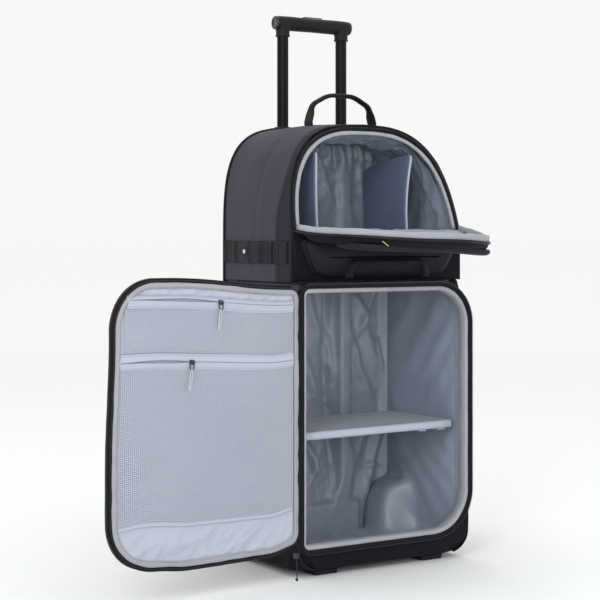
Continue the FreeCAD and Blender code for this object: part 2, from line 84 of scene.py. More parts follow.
def add_node(tree, kind, inputs=None, **settings):
    """Adds a node with its settings. inputs maps a socket's name or number to a value or an output to link."""
    made = tree.nodes.new(kind)
    for setting, value in settings.items():
        setattr(made, setting, value)
    for socket, value in (inputs or {}).items():
        if isinstance(value, bpy.types.NodeSocket):
            tree.links.new(value, made.inputs[socket])
        else:
            made.inputs[socket].default_value = value
    return made


def srgb(code, alpha=1.0):
    """A hex sRGB colour as linear light."""
    parts = [int(code[start:start + 2], 16) / 255 for start in (1, 3, 5)]
    linear = [part / 12.92 if part <= 0.04045 else ((part + 0.055) / 1.055) ** 2.4 for part in parts]
    return (*linear, alpha)


world = bpy.data.worlds.new("studio")
world.use_nodes = True
world.node_tree.nodes["Background"].inputs["Color"].default_value = srgb("#F7F8F8")
world.node_tree.nodes["Background"].inputs["Strength"].default_value = 1.0
scene.world = world


def soft_light(name, place, aim, side, watts):
    """A square softbox at a place, turned towards a point on the bag."""
    lamp = bpy.data.lights.new(name, "AREA")
    lamp.shape = "SQUARE"
    lamp.size = side
    lamp.energy = watts
    holder = bpy.data.objects.new(name, lamp)
    holder.location = place
    holder.rotation_euler = (Vector(aim) - Vector(place)).to_track_quat("-Z", "Y").to_euler()
    scene.collection.objects.link(holder)


soft_light("key_left", (-3.2, -2.6, 2.3), (0, 0, 0.5), 1.6, 55)
soft_light("fill_right", (2.4, -3.2, 1.2), (0, 0, 0.5), 1.6, 14)
soft_light("front", (-2.0, -3.8, 1.0), (0, 0, 0.4), 0.9, 26)
soft_light("overhead", (0.2, 0.2, 3.4), (0, 0, 0.6), 2.0, 22)


def build(name, points, faces, uv=None):
    """A mesh object at the origin from points in millimetres and faces, with an optional UV per point in metres."""
    mesh = bpy.data.meshes.new(name)
    mesh.from_pydata([Vector(point) * MM for point in points], [], faces)
    if uv:
        layer = mesh.uv_layers.new(name="flat")
        for loop in mesh.loops:
            layer.data[loop.index].uv = uv[loop.vertex_index]
    for polygon in mesh.polygons:
        polygon.use_smooth = True
    piece = bpy.data.objects.new(name, mesh)
    scene.collection.objects.link(piece)
    return piece


floor = build("floor", [(-150000, -150000, -0.5), (150000, -150000, -0.5), (150000, 150000, -0.5),
                        (-150000, 150000, -0.5)], [(0, 1, 2, 3)])
# The floor is darker near the bag and white further off: painted shade that evens out the brighter pool the lamps throw
# round the bag.
paint = bpy.data.materials.new("matt white floor with painted shade near the bag")
paint.use_nodes = True
paint_where = add_node(paint.node_tree, "ShaderNodeTexCoord")
paint_reach = add_node(paint.node_tree, "ShaderNodeVectorMath", {0: paint_where.outputs["Object"]}, operation="LENGTH")
paint_far = add_node(paint.node_tree, "ShaderNodeMapRange",
                     {"Value": paint_reach.outputs["Value"], "From Min": 0.6, "From Max": 7.0})
floor_painted_shade_tone = add_node(paint.node_tree, "ShaderNodeValToRGB", {"Fac": paint_far.outputs[0]})
floor_painted_shade_tone.color_ramp.elements[0].color = srgb("#EDEEEE")
floor_painted_shade_tone.color_ramp.elements[1].color = srgb("#FEFEFE")
paint.node_tree.links.new(floor_painted_shade_tone.outputs[0], paint.node_tree.nodes["Principled BSDF"].inputs["Base Color"])
paint.node_tree.nodes["Principled BSDF"].inputs["Roughness"].default_value = 0.9
paint.node_tree.nodes["Principled BSDF"].inputs["Specular IOR Level"].default_value = 0.1
floor.data.materials.append(paint)
floor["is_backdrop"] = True

# ------------------------------------------------------------------ lower body: sides and front face
# The bag is foam-backed woven polyester: charcoal sides and a black front face, sewn to each other over piping.
# The cloth is stiff enough to stand, with a slight belly and shallow creases.
WEAVE_PITCH = 1.8  # yarn spacing; the real 0.5 mm is finer than the render shows, so it is drawn coarser


def woven(name, dark, light, pitch, rough, sheen, depth, mottle=9.0, shine=0.3):
    """Woven cloth: over-and-under yarns from crossed waves, blotchy colour darkened in the weave's low points as
    painted shade between the yarns, a raised grain and a soft sheen.
    """
    cloth = bpy.data.materials.new(name)
    cloth.use_nodes = True
    tree = cloth.node_tree
    shader = tree.nodes["Principled BSDF"]
    where = add_node(tree, "ShaderNodeTexCoord")
    yarns = add_node(tree, "ShaderNodeVectorMath", {0: where.outputs["Object"], 1: (math.tau / (pitch * MM),) * 3},
                     operation="MULTIPLY")
    waves = add_node(tree, "ShaderNodeVectorMath", {0: yarns.outputs[0]}, operation="SINE")
    split = add_node(tree, "ShaderNodeSeparateXYZ", {0: waves.outputs[0]})
    crossed = []
    for first, second in (("X", "Y"), ("Y", "Z"), ("Z", "X")):
        crossed.append(add_node(tree, "ShaderNodeMath", {0: split.outputs[first], 1: split.outputs[second]},
                                operation="MULTIPLY"))
    some = add_node(tree, "ShaderNodeMath", {0: crossed[0].outputs[0], 1: crossed[1].outputs[0]})
    grain = add_node(tree, "ShaderNodeMath", {0: some.outputs[0], 1: crossed[2].outputs[0]})
    height = add_node(tree, "ShaderNodeMapRange", {"Value": grain.outputs[0], "From Min": -1.0, "From Max": 1.0})
    blotch = add_node(tree, "ShaderNodeTexNoise", {"Vector": where.outputs["Object"], "Scale": mottle, "Detail": 4.0,
                                                   "Roughness": 0.6})
    fuzz = add_node(tree, "ShaderNodeTexNoise", {"Vector": where.outputs["Object"], "Scale": 900.0, "Detail": 2.0})
    share = add_node(tree, "ShaderNodeMapRange", {"Value": blotch.outputs["Fac"], "From Min": 0.3, "From Max": 0.7})
    # The blotchy share is multiplied by the weave's height, so the yarns' low points are darker: painted shade between
    # the yarns.
    blotch_times_weave_shade = add_node(tree, "ShaderNodeMath", {0: share.outputs[0], 1: height.outputs[0]}, operation="MULTIPLY")
    tone_with_weave_shade = add_node(tree, "ShaderNodeMath", {0: blotch_times_weave_shade.outputs[0], 1: fuzz.outputs["Fac"], 2: 0.15},
                      operation="MULTIPLY_ADD")
    colour = add_node(tree, "ShaderNodeMix", {0: tone_with_weave_shade.outputs[0], 6: srgb(dark), 7: srgb(light)}, data_type="RGBA")
    tree.links.new(colour.outputs[2], shader.inputs["Base Color"])
    bump = add_node(tree, "ShaderNodeBump", {"Height": height.outputs[0], "Strength": 0.6, "Distance": depth * MM})
    tree.links.new(bump.outputs[0], shader.inputs["Normal"])
    shader.inputs["Roughness"].default_value = rough
    shader.inputs["Specular IOR Level"].default_value = shine
    shader.inputs["Sheen Weight"].default_value = sheen
    shader.inputs["Sheen Roughness"].default_value = 0.4
    return cloth


black_cloth = woven("black 600 denier polyester", "#0C0C12", "#1A1A24", WEAVE_PITCH, 0.72, 0.03, 0.25, 9.0, 0.12)
charcoal_cloth = woven("charcoal 600 denier polyester", "#32323D", "#474753", WEAVE_PITCH, 0.7, 0.06, 0.25, 9.0, 0.15)
black_tape = woven("black nylon piping tape", "#08080B", "#121217", 1.2, 0.55, 0.03, 0.2, 9.0, 0.14)


def ridge(point, spacing, seed):
    """0 to 1: sharp soft-sided folds about a spacing apart, as loose cloth has."""
    place = Vector(point) / spacing + Vector((seed, seed * 1.7, seed * 0.6))
    place += noise.noise_vector(place * 0.7) * 0.9
    return max(0.0, 1 - 2.2 * abs(noise.noise(place))) ** 2


def smooth(low, high, value):
    """0 below low, 1 above high, and an even curve between."""
    share = min(1.0, max(0.0, (value - low) / (high - low)))
    return share * share * (3 - 2 * share)


def mix(first, second, share):
    return first + (second - first) * share


def sheet_of(name, columns, rows, place, skip=None, wrap=False):
    """A grid sheet: place(u, v) gives each point in millimetres for u and v from 0 to 1."""
    points, uv, faces = [], [], []
    wide = columns if wrap else columns + 1
    for row in range(rows + 1):
        for column in range(wide):
            point = place(column / columns, row / rows)
            points.append(point)
            uv.append((column / columns, row / rows))
    for row in range(rows):
        for column in range(columns):
            after = (column + 1) % wide
            corners = (row * wide + column, row * wide + after, (row + 1) * wide + after, (row + 1) * wide + column)
            if skip is None or not skip(sum((Vector(points[c]) for c in corners), Vector()) / 4):
                faces.append(corners)
    return build(name, points, faces, uv)


def thicken(piece, thick, offset=-1.0, levels=0):
    """Live wall thickness, with one round of smoothing where asked."""
    if levels:
        smoother = piece.modifiers.new("smooth", "SUBSURF")
        smoother.levels = levels
        smoother.render_levels = levels
    wall = piece.modifiers.new("wall", "SOLIDIFY")
    wall.thickness = thick * MM
    wall.offset = offset
    return piece


def outward(piece):
    """Turns every face of a closed mesh outwards."""
    work = bmesh.new()
    work.from_mesh(piece.data)
    bmesh.ops.remove_doubles(work, verts=work.verts, dist=1e-6)
    bmesh.ops.recalc_face_normals(work, faces=work.faces)
    work.to_mesh(piece.data)
    work.free()
    return piece


def weld(piece):
    """Merges the points of a mesh that lie on each other."""
    work = bmesh.new()
    work.from_mesh(piece.data)
    bmesh.ops.remove_doubles(work, verts=work.verts, dist=1e-6)
    work.to_mesh(piece.data)
    work.free()
    return piece


def finish(piece, material, body="bag", stands_for=()):
    """Gives a piece its material and its body, and hides the CAD nodes it stands for."""
    piece.data.materials.clear()
    piece.data.materials.append(material)
    if body:
        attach(piece, body)
    if stands_for:
        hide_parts(*stands_for)
    return piece


HALF, REAR, DECK = 195, 145, 550
WELL_INNER, WELL_FRONT, WELL_HIGH = 132, 55, 98


def shoulder(y, z, sign):
    """How far a side turns in near the front, where the face's corners are rounded."""
    low = min(1.0, max(0.0, (60 - z) / 48))
    high = min(1.0, max(0.0, (z - 467) / 83)) if sign > 0 else 0.0
    turn = 48 * (1 - math.sqrt(1 - low * low)) + 78 * (1 - math.sqrt(1 - high * high))
    return turn * smooth(-100, -134, y)


for name, sign in (("left", -1), ("right", 1)):
    run = [(188, -131.5), (193.5, -131), (HALF, -127)]
    run += [(HALF, y) for y in (-110, -80, -50, -20, 10, 35, WELL_FRONT, 75, 95, 115, 130)]
    run += [(193.5, 139), (188, 143)]
    heights = [14, 20, 35, 55, 75, WELL_HIGH] + [WELL_HIGH + (DECK - WELL_HIGH) * step / 26 for step in range(1, 27)]

    def side_point(u, v):
        x, y = run[round(u * (len(run) - 1))]
        z = heights[round(v * (len(heights) - 1))]
        belly = 3.0 * math.sin(math.pi * smooth(-130, 140, y)) * math.sin(math.pi * (z - 14) / (DECK - 14))
        belly += 1.6 * (ridge((0, y, z * 0.4), 70, 3.1 + sign) - 0.3) * smooth(-140, -100, y) * smooth(140, 110, y)
        return (sign * (x + belly - shoulder(y, z, sign)), y, z)

    side = sheet_of(f"lower_side_{name}_cloth", len(run) - 1, len(heights) - 1, side_point,
                    skip=lambda p: p.z < WELL_HIGH and p.y > WELL_FRONT)
    thicken(side, 4, -1.0 if sign > 0 else 1.0, 1)
    finish(side, charcoal_cloth, "bag", [f"lower_side_{name}"])

    def guard_point(u, v):
        y, z = mix(-139, WELL_FRONT - 4, u), mix(14, 62, v)
        return (sign * (HALF + 1.2 + 2.4 * math.sin(math.pi * v) ** 0.5 - shoulder(y, z, sign)), y, z)

    guard = sheet_of(f"lower_side_{name}_guard", 30, 8, guard_point)
    finish(thicken(guard, 1.2, 0.0, 1), black_cloth)

# Front face of the lower compartment: one cloth ring between the zip band and the body's edge, with its bottom
# corners rounded off and the cloth tucked back to the moulded tray.
def rounded_loop(corners, per_corner=10, per_side=12):
    """Points round a box with rounded corners, each corner (x, z, radius), with fixed counts for lofting."""
    points = []
    for number, (x, z, radius) in enumerate(corners):
        here = Vector((x, z))
        back = (Vector(corners[number - 1][:2]) - here).normalized()
        after = (Vector(corners[(number + 1) % len(corners)][:2]) - here).normalized()
        half = back.angle(after) / 2
        centre = here + (back + after).normalized() * radius / math.sin(half)
        start = here + back * radius / math.tan(half) - centre
        turn = math.pi - 2 * half
        if start.y * back.x - start.x * back.y < 0:
            turn = -turn
        for step in range(per_corner + 1):
            angle = turn * step / per_corner
            points.append(centre + Vector((start.x * math.cos(angle) - start.y * math.sin(angle),
                                           start.x * math.sin(angle) + start.y * math.cos(angle))))
    ring = []
    for number, point in enumerate(points):
        ring.append(point)
        if number % (per_corner + 1) == per_corner:
            target = points[(number + 1) % len(points)]
            ring += [point.lerp(target, step / per_side) for step in range(1, per_side)]
    return ring


def band_loop(inset, **counts):
    """The outline of the lower opening, set in from the zip band's outside."""
    left = -203 + inset * 0.7
    return rounded_loop([(left, 44 + inset, 25 - min(inset, 15)), (203 - inset, 44 + inset, 95 - inset),
                         (203 - inset, 550 - inset, 85 - inset), (left, 550 - inset, 25 - min(inset, 15))], **counts)


def loft(name, loops, closed_loop=True, closed_across=False):
    """Joins loops that have the same number of points, each a list of points in millimetres."""
    count = len(loops[0])
    rows = len(loops)
    points = [point for loop in loops for point in loop]
    faces = []
    for row in range(rows if closed_across else rows - 1):
        after = (row + 1) % rows
        for column in range(count if closed_loop else count - 1):
            beside = (column + 1) % count
            faces.append((row * count + column, row * count + beside, after * count + beside, after * count + column))
    uv = [(column / count, row / rows) for row in range(rows) for column in range(count)]
    return build(name, points, faces, uv)


face_outer = rounded_loop([(-197, 12, 48), (197, 12, 48), (198, DECK + 1, 80), (-197, DECK, 6)])
face_inner = band_loop(8)
loops = []
for share, depth in ((0.0, -133.0), (0.0, -137.5), (0.04, -140.6), (0.3, -141.4), (0.7, -141.2), (1.0, -140.5)):
    loop = []
    for outer, inner in zip(face_outer, face_inner):
        spot = outer.lerp(inner, share)
        pucker = 1.2 * (ridge((spot.x, 0, spot.y), 26, 7.7) - 0.3) * smooth(0, 0.3, share)
        tuck = 10 * smooth(50, 14, spot.y) * (1 - share)
        loop.append((spot.x, depth + pucker + tuck, spot.y))
    loops.append(loop)
face = loft("lower_front_face", loops)
finish(outward(face), black_cloth, "bag", ["lower_front_frame"])
thicken(face, 2.5, -1.0)

# Skirt of the same black cloth under the opening, folded back and glued to the tray's rounded front.
def skirt_point(u, v):
    angle = math.pi * (1.0 - u)
    reach = math.copysign(abs(math.cos(angle)) ** 0.55, math.cos(angle))
    x_high, x_low = reach * 192, reach * 181
    front = mix(-136, -104, smooth(0.55, 1.0, abs(reach)))
    low_front = mix(-117, -60, smooth(0.6, 1.0, abs(reach)))
    z_high = mix(46, 66, smooth(0.7, 1.0, abs(reach)))
    drape = 2.4 * (ridge((x_high, 0, v * 60), 34, 1.3) - 0.3) * math.sin(math.pi * v)
    y = mix(front, low_front, v ** 1.6) - drape
    z = mix(z_high, 9, v)
    return (mix(x_high, x_low, v), y, z)


skirt = thicken(sheet_of("front_skirt_cloth", 72, 14, skirt_point), 2, 1.0)
finish(skirt, black_cloth, "bag", ["front_skirt"])


# ------------------------------------------------------------------ back panel and piping
# A stiff plastic board under black cloth closes the whole back. Round piping covers the seam where it meets the
# gusset. Two rubbing strips protect the cloth where the bag slides on steps.
ARCH_LOW, ARCH_TOP_REAR, ARCH_TOP_FRONT = 600, 852, 850


def arch(share, rear, inset=0.0, low=DECK):
    """A point (x, z) on the upper outline: share runs from the left foot over the top to the right foot,
    and rear runs from 0 at the mouth to 1 at the back, where the dome is squarer."""
    leg = 0.14
    half = mix(197.5, 194.5, rear) - inset
    top = mix(ARCH_TOP_FRONT, ARCH_TOP_REAR, rear) - inset
    power = 2 / mix(2.85, 3.9, rear)
    if share < leg:
        return Vector((-half, mix(low, ARCH_LOW, share / leg)))
    if share > 1 - leg:
        return Vector((half, mix(low, ARCH_LOW, (1 - share) / leg)))
    angle = math.pi * (share - leg) / (1 - 2 * leg)
    turn = math.sin(angle * 2) * 0.12
    angle += turn
    x = -half * math.copysign(abs(math.cos(angle)) ** power, math.cos(angle))
    return Vector((x, ARCH_LOW + (top - ARCH_LOW) * max(0.0, math.sin(angle)) ** power))


def back_point(u, v):
    side = arch(0.5 * v, 1.0, 1.0, 10)
    x = side.x * (1 - 2 * u)
    z = side.y
    swell = 1.6 * math.cos(x / 195 * math.pi / 2) + 0.8 * (ridge((x, 0, z), 90, 4.4) - 0.3)
    return (x, REAR - 2.5 + swell, z)


back = sheet_of("back_panel_cloth", 40, 90, back_point,
                skip=lambda p: p.z < WELL_HIGH and abs(p.x) > WELL_INNER)
finish(thicken(back, 3, 1.0), black_cloth, "bag", ["back_board"])


def sweep(name, path, profile, normal, closed=True, wobble=0.0):
    """Runs a closed profile, pairs of (outward, towards normal) in millimetres, along a path in a plane."""
    normal = Vector(normal).normalized()
    count = len(path)
    loops = []
    for number, point in enumerate(path):
        point = Vector(point)
        before = Vector(path[number - 1]) if closed or number else point
        after = Vector(path[(number + 1) % count]) if closed or number < count - 1 else point
        along = (after - before).normalized()
        out = along.cross(normal).normalized()
        rise = out.cross(along)
        swell = 1 + wobble * noise.noise(point * 0.035)
        shift = wobble * 2.0 * noise.noise(point * 0.05 + Vector((9, 4, 2)))
        loops.append([point + out * (across * swell + shift) + rise * high * swell for across, high in profile])
    points = [point for loop in loops for point in loop]
    size = len(profile)
    faces = []
    for row in range(count if closed else count - 1):
        beside = (row + 1) % count
        for column in range(size):
            after = (column + 1) % size
            faces.append((row * size + column, row * size + after, beside * size + after, beside * size + column))
    if not closed:
        faces.append(tuple(range(size)))
        faces.append(tuple((count - 1) * size + column for column in reversed(range(size))))
    return outward(build(name, points, faces))


def round_profile(radius, sides=10, flat=1.0):
    return [(radius * math.cos(math.tau * k / sides), flat * radius * math.sin(math.tau * k / sides))
            for k in range(sides)]


rear_edge = [(point.x, 142.0, point.y) for point in (arch(k / 120, 1.0, -2.5, 12) for k in range(121))]
rear_piping = sweep("rear_piping", rear_edge, round_profile(3.8), (0, -1, 0), closed=False)
finish(rear_piping, black_tape)

for name, sign in (("left", -1), ("right", 1)):
    strip = [(sign * 88, 144, z) for z in range(40, 520, 12)]
    rub = sweep(f"rub_strip_{name}", strip, [(-6, 0), (-5, 3), (0, 4.4), (5, 3), (6, 0), (0, -2)], (0, 1, 0), closed=False)
    finish(rub, black_tape)

# ------------------------------------------------------------------ zip band and binding of the lower opening
# A moulded-look coil zip on black tape runs round the opening, and a pale grosgrain ribbon is folded over the raw
# edge inside it. Both are sewn through the face cloth.
ribbon = woven("pale grey grosgrain ribbon", "#919199", "#ADADB4", 1.4, 0.62, 0.15, 0.3, 30.0)
zip_tape = woven("black woven zip tape", "#09090C", "#15151A", 1.3, 0.5, 0.03, 0.2, 9.0, 0.14)

coil = bpy.data.materials.new("black nylon zip coil")
coil.use_nodes = True
coil_tree = coil.node_tree
coil_where = add_node(coil_tree, "ShaderNodeTexCoord")
coil_wear = add_node(coil_tree, "ShaderNodeTexNoise", {"Vector": coil_where.outputs["Object"], "Scale": 60.0})
coil_colour = add_node(coil_tree, "ShaderNodeValToRGB", {"Fac": coil_wear.outputs["Fac"]})
coil_colour.color_ramp.elements[0].color = srgb("#09090C")
coil_colour.color_ramp.elements[1].color = srgb("#18181D")
coil_tree.links.new(coil_colour.outputs[0], coil_tree.nodes["Principled BSDF"].inputs["Base Color"])
coil_tree.nodes["Principled BSDF"].inputs["Roughness"].default_value = 0.34

# One tree lays small bits along seam lines: zip teeth, stitches and coil turns.
row_tree = bpy.data.node_groups.new("bits along a seam", "GeometryNodeTree")
row_face = row_tree.interface
row_face.new_socket("Geometry", in_out="INPUT", socket_type="NodeSocketGeometry")
row_sockets = {}
for label, kind, value in (("Pitch", "NodeSocketFloat", 0.0025), ("Size", "NodeSocketVector", (0.0012, 0.004, 0.002)),
                           ("Up", "NodeSocketVector", (0.0, -1.0, 0.0)), ("Material", "NodeSocketMaterial", None)):
    socket = row_face.new_socket(label, in_out="INPUT", socket_type=kind)
    if value is not None:
        socket.default_value = value
    row_sockets[label] = socket.identifier
row_face.new_socket("Geometry", in_out="OUTPUT", socket_type="NodeSocketGeometry")
row_in = add_node(row_tree, "NodeGroupInput")
row_points = add_node(row_tree, "GeometryNodeCurveToPoints",
                      {"Curve": row_in.outputs["Geometry"], "Length": row_in.outputs["Pitch"]}, mode="LENGTH")
row_turn = add_node(row_tree, "FunctionNodeAlignRotationToVector", {"Vector": row_points.outputs["Tangent"]}, axis="X")
row_face_up = add_node(row_tree, "FunctionNodeAlignRotationToVector",
                       {"Rotation": row_turn.outputs[0], "Vector": row_in.outputs["Up"]}, axis="Z", pivot_axis="X")
row_bit = add_node(row_tree, "GeometryNodeMeshCube", {"Size": row_in.outputs["Size"]})
row_copies = add_node(row_tree, "GeometryNodeInstanceOnPoints",
                      {"Points": row_points.outputs["Points"], "Instance": row_bit.outputs["Mesh"],
                       "Rotation": row_face_up.outputs[0]})
row_real = add_node(row_tree, "GeometryNodeRealizeInstances", {"Geometry": row_copies.outputs[0]})
row_painted = add_node(row_tree, "GeometryNodeSetMaterial",
                       {"Geometry": row_real.outputs[0], "Material": row_in.outputs["Material"]})
add_node(row_tree, "NodeGroupOutput", {"Geometry": row_painted.outputs[0]})


def bits_along(name, paths, pitch, bit, up, material):
    """Bits of a size in millimetres at a pitch along lines in millimetres; each line is (points, closed)."""
    line = bpy.data.curves.new(name, "CURVE")
    line.dimensions = "3D"
    for path, closed in paths:
        spline = line.splines.new("POLY")
        spline.points.add(len(path) - 1)
        for target, point in zip(spline.points, path):
            target.co = (*(Vector(point) * MM), 1)
        spline.use_cyclic_u = closed
    holder = bpy.data.objects.new(name + "_line", line)
    scene.collection.objects.link(holder)
    layer = holder.modifiers.new("bits", "NODES")
    layer.node_group = row_tree
    layer[row_sockets["Pitch"]] = pitch * MM
    layer[row_sockets["Size"]] = [side * MM for side in bit]
    layer[row_sockets["Up"]] = up
    layer[row_sockets["Material"]] = material
    depsgraph = bpy.context.evaluated_depsgraph_get()
    mesh = bpy.data.meshes.new_from_object(holder.evaluated_get(depsgraph))
    bpy.data.objects.remove(holder)
    piece = bpy.data.objects.new(name, mesh)
    scene.collection.objects.link(piece)
    return piece


def in_front(loop, y):
    """Loop points (x, z) set at a depth y."""
    return [(point.x, y, point.y) for point in loop]


fine = {"per_corner": 20, "per_side": 40}
lower_tape = sweep("lower_zip_tape", in_front(band_loop(5.6, **fine), -143.5),
                   [(5.6, -2), (5.6, 2.4), (3.6, 4.4), (0, 3.6), (-5.0, 3.0), (-6.2, 0.5), (-6.2, -2)],
                   (0, -1, 0), wobble=0.05)
finish(lower_tape, zip_tape, "bag", ["lower_zip_band"])
toothed = [spot for spot in band_loop(2.4, **fine) if spot.x > -192]
toothed = sorted(toothed, key=lambda spot: math.atan2(spot.y - 297, spot.x + 40))
lower_teeth = bits_along("lower_zip_teeth", [(in_front(toothed, -148.2), False)], 2.6, (1.4, 3.2, 1.8), (0, -1, 0), coil)
finish(lower_teeth, coil)
FOLDED = [(4.2, -1), (4.0, 2.0), (2.4, 3.4), (-2.4, 3.0), (-4.2, 0.6), (-4.8, -16), (-3.4, -17), (-2.0, -2), (2.8, -1)]
lower_ribbon = sweep("lower_binding", in_front(band_loop(15.0, **fine), -143), FOLDED, (0, -1, 0), wobble=0.12)
finish(lower_ribbon, ribbon)
stitch_thread = woven("grey polyester thread", "#77777F", "#93939B", 0.6, 0.6, 0.1, 0.1)
ribbon_stitches = bits_along("lower_binding_stitches", [([(point.x, -133, point.y) for point in band_loop(20.0, **fine)], True)],
                             4.2, (3.0, 0.55, 0.5), (0, -1, 0), stitch_thread)
finish(ribbon_stitches, stitch_thread)

# ------------------------------------------------------------------ lining of the lower compartment
# Thin silver-grey coated polyester, sewn only along the opening and the back edges, so it lies in loose folds and
# has a low silky shine. It is pulled tight over the two trolley tubes and sinks in between them.
# This is the same cloth as the door's lining, given darker colours here as painted shade for the inside of the
# compartments; the flap's lining uses it too.
lining = woven("silver grey coated polyester lining", "#7C8594", "#A4ACBA", 1.1, 0.36, 0.2, 0.08, 5.0, 0.6)


def crumple(point, size, seed):
    """Loose-cloth folds of two sizes, from about -0.3 to 1.2."""
    return ridge(point, size, seed) - 0.3 + 0.5 * ridge(point, size * 0.42, seed + 5)


def pulls(a, b, lines):
    """Folds pulled tight along listed lines, each (a, b, a, b, height, width): steep on one side, soft on the other."""
    total = 0.0
    spot = Vector((a, b)) + Vector(noise.noise_vector(Vector((a / 55, b / 55, 2.0)))[:2]) * 9
    for a1, b1, a2, b2, height, width in lines:
        start, along = Vector((a1, b1)), Vector((a2 - a1, b2 - b1))
        share = (spot - start).dot(along) / along.length_squared
        off = (spot - start).cross(along.normalized())
        reach = smooth(-0.12, 0.2, share) * smooth(1.15, 0.6, share)
        total += height * reach * math.exp(-(off / (width * (1.0 if off > 0 else 0.7))) ** 2)
    return total


WALL_PULLS = [(-70, 525, 70, 330, 9, 17), (-96, 470, 30, 300, 8, 13), (-104, 400, -10, 285, 7, 12), (10, 535, 96, 410, 8, 15),
              (60, 520, 100, 470, 6, 9), (-40, 440, 60, 300, 6, 9), (92, 245, -70, 50, 11, 17), (84, 205, -20, 40, 9, 12),
              (50, 248, -96, 96, 9, 15), (10, 246, -108, 150, 8, 12), (-40, 250, -112, 200, 6, 10), (96, 320, 60, 270, 6, 9)]
REAR_PULLS = [(95, 535, 168, 330, 9, 15), (70, 470, 150, 280, 8, 12), (160, 540, 100, 420, 7, 12), (20, 540, 44, 300, 8, 13),
              (-20, 530, 20, 420, 7, 12), (-30, 400, 10, 285, 8, 14), (176, 260, 110, 60, 9, 14), (130, 250, 60, 90, 10, 15),
              (90, 200, 30, 40, 9, 12), (20, 240, -30, 60, 8, 13), (-40, 250, 20, 120, 7, 10), (-95, 530, -140, 380, 7, 14),
              (-150, 500, -100, 330, 7, 12), (-170, 240, -100, 60, 8, 14), (160, 420, 176, 330, 6, 8)]
mouth_loop = band_loop(14.5, per_corner=10, per_side=26)
room_loop = rounded_loop([(-187, 22, 22), (187, 22, 30), (187, 545, 26), (-187, 545, 22)], per_corner=10, per_side=26)
back_loop = rounded_loop([(-178, 28, 30), (178, 28, 34), (178, 543, 30), (-178, 543, 30)], per_corner=10, per_side=26)
depths = [-140, -136, -130, -122, -114, -110, -106, -98, -88] + [-88 + 13.8 * step for step in range(1, 15)]
loops = []
for depth in depths:
    near = smooth(-140, -112, depth)
    far = smooth(-20, 100, depth)
    loop = []
    for mouth, room, rear in zip(mouth_loop, room_loop, back_loop):
        spot = mouth.lerp(room, near).lerp(rear, far)
        middle = Vector((0, 285))
        inward = (middle - spot).normalized()
        over_x, under = abs(spot.x) - 120, 130 - spot.y
        if over_x > 0 and under > 0:
            along = over_x / (over_x + under)
            foot, knee, top = Vector((120, 22)), Vector((116, 142)), Vector((187, 130))
            target = foot.lerp(knee, along).lerp(knee.lerp(top, along), along)
            target.x = math.copysign(target.x, spot.x)
            spot = spot.lerp(target, smooth(12, 48, depth))
        slope = Vector((spot.x * 0.9, depth * 0.85 + spot.y * 0.75, spot.y * 0.35 - depth * 0.3))
        fold = 3.6 * crumple(slope, 60, 2.2)
        if abs(spot.x) > 100:
            fold += 1.25 * pulls(depth, spot.y, WALL_PULLS) * smooth(100, 150, abs(spot.x)) * smooth(24, 60, spot.y)
        if spot.y < 60 or spot.y > 500:
            fold += 5 * crumple((spot.x, depth, 0), 62, 9.2)
        fold *= smooth(-130, -96, depth) * smooth(106, 84, depth)
        fold += 2.2 * ridge((spot.x, depth * 0.3, spot.y * 2.2), 24, 6.6) * smooth(-100, -110, depth) * near
        seam = -1.8 * math.exp(-((depth + 110) / 3) ** 2)
        spot = spot + inward * (fold + seam)
        loop.append((spot.x, depth, spot.y))
    loops.append(loop)
walls = loft("lower_lining_walls", loops)
finish(thicken(walls, 0.8, 1.0, 1), lining)


def rear_lining_point(u, v):
    x, z = mix(-181, 181, u), mix(24, 545, v)
    tube = math.exp(-((abs(x) - 71.5) / 17) ** 4) * smooth(20, 60, z)
    tube = max(tube, smooth(96, 82, z) * smooth(112, 102, abs(x)))
    y = mix(118, 103.5, tube)
    slack = (1 - 0.75 * tube) * smooth(0, 0.05, u) * smooth(1, 0.95, u)
    y -= (1.3 * pulls(x, z, REAR_PULLS) + 2.0 * crumple((x, 0, z), 60, 8.1)) * slack
    fold = 17 * math.exp(-((x - 36 - 7 * math.sin(z / 90)) / 12) ** 2) * smooth(100, 240, z)
    hem = 3 * math.exp(-((z - 157) / 4) ** 2) + 4 * ridge((x * 1.6, 0, z * 0.3), 30, 12.5) * smooth(160, 120, z)
    y += fold * (1 - smooth(96, 82, z)) - hem * slack
    y = mix(104, y, smooth(0, 0.06, u) * smooth(1, 0.94, u) * smooth(1, 0.97, v))
    return (x, mix(y, max(101.5, y), smooth(50, 58, abs(x)) * smooth(93, 85, abs(x))), z)


rear_lining = sheet_of("lower_lining_rear", 110, 120, rear_lining_point,
                       skip=lambda p: p.z < WELL_HIGH + 4 and abs(p.x) > WELL_INNER)
finish(thicken(rear_lining, 0.8, -1.0), lining, "bag", ["tube_covers"])
seam_runs = []
for x in (-92, -52, 52, 92):
    seam_runs.append(([(x, 101.2 if abs(x) in (52, 92) else 104, z) for z in range(160, 540, 10)], False))
rear_seams = bits_along("lower_lining_seams", seam_runs, 4.5, (3.2, 0.5, 0.5), (0, -1, 0), stitch_thread)
finish(rear_seams, stitch_thread)

# ------------------------------------------------------------------ upper body
# The domed upper compartment is one bent gusset of charcoal cloth, with a narrower black band towards the mouth that
# thins out over the top. The mouth leans back. Zip tape, coil and pale binding run round it from corner to corner.
MOUTH_LEAN = math.tan(math.radians(14))


def mouth_depth(z):
    """How far forward the mouth's edge stands at a height."""
    return -110 + max(0.0, z - 648) * MOUTH_LEAN


def seam_depth(z, x):
    """Where the black front band meets the charcoal gusset."""
    return mix(-54, mouth_depth(z) + 15, smooth(655, 800, z)) + 4 * smooth(800, 850, z)


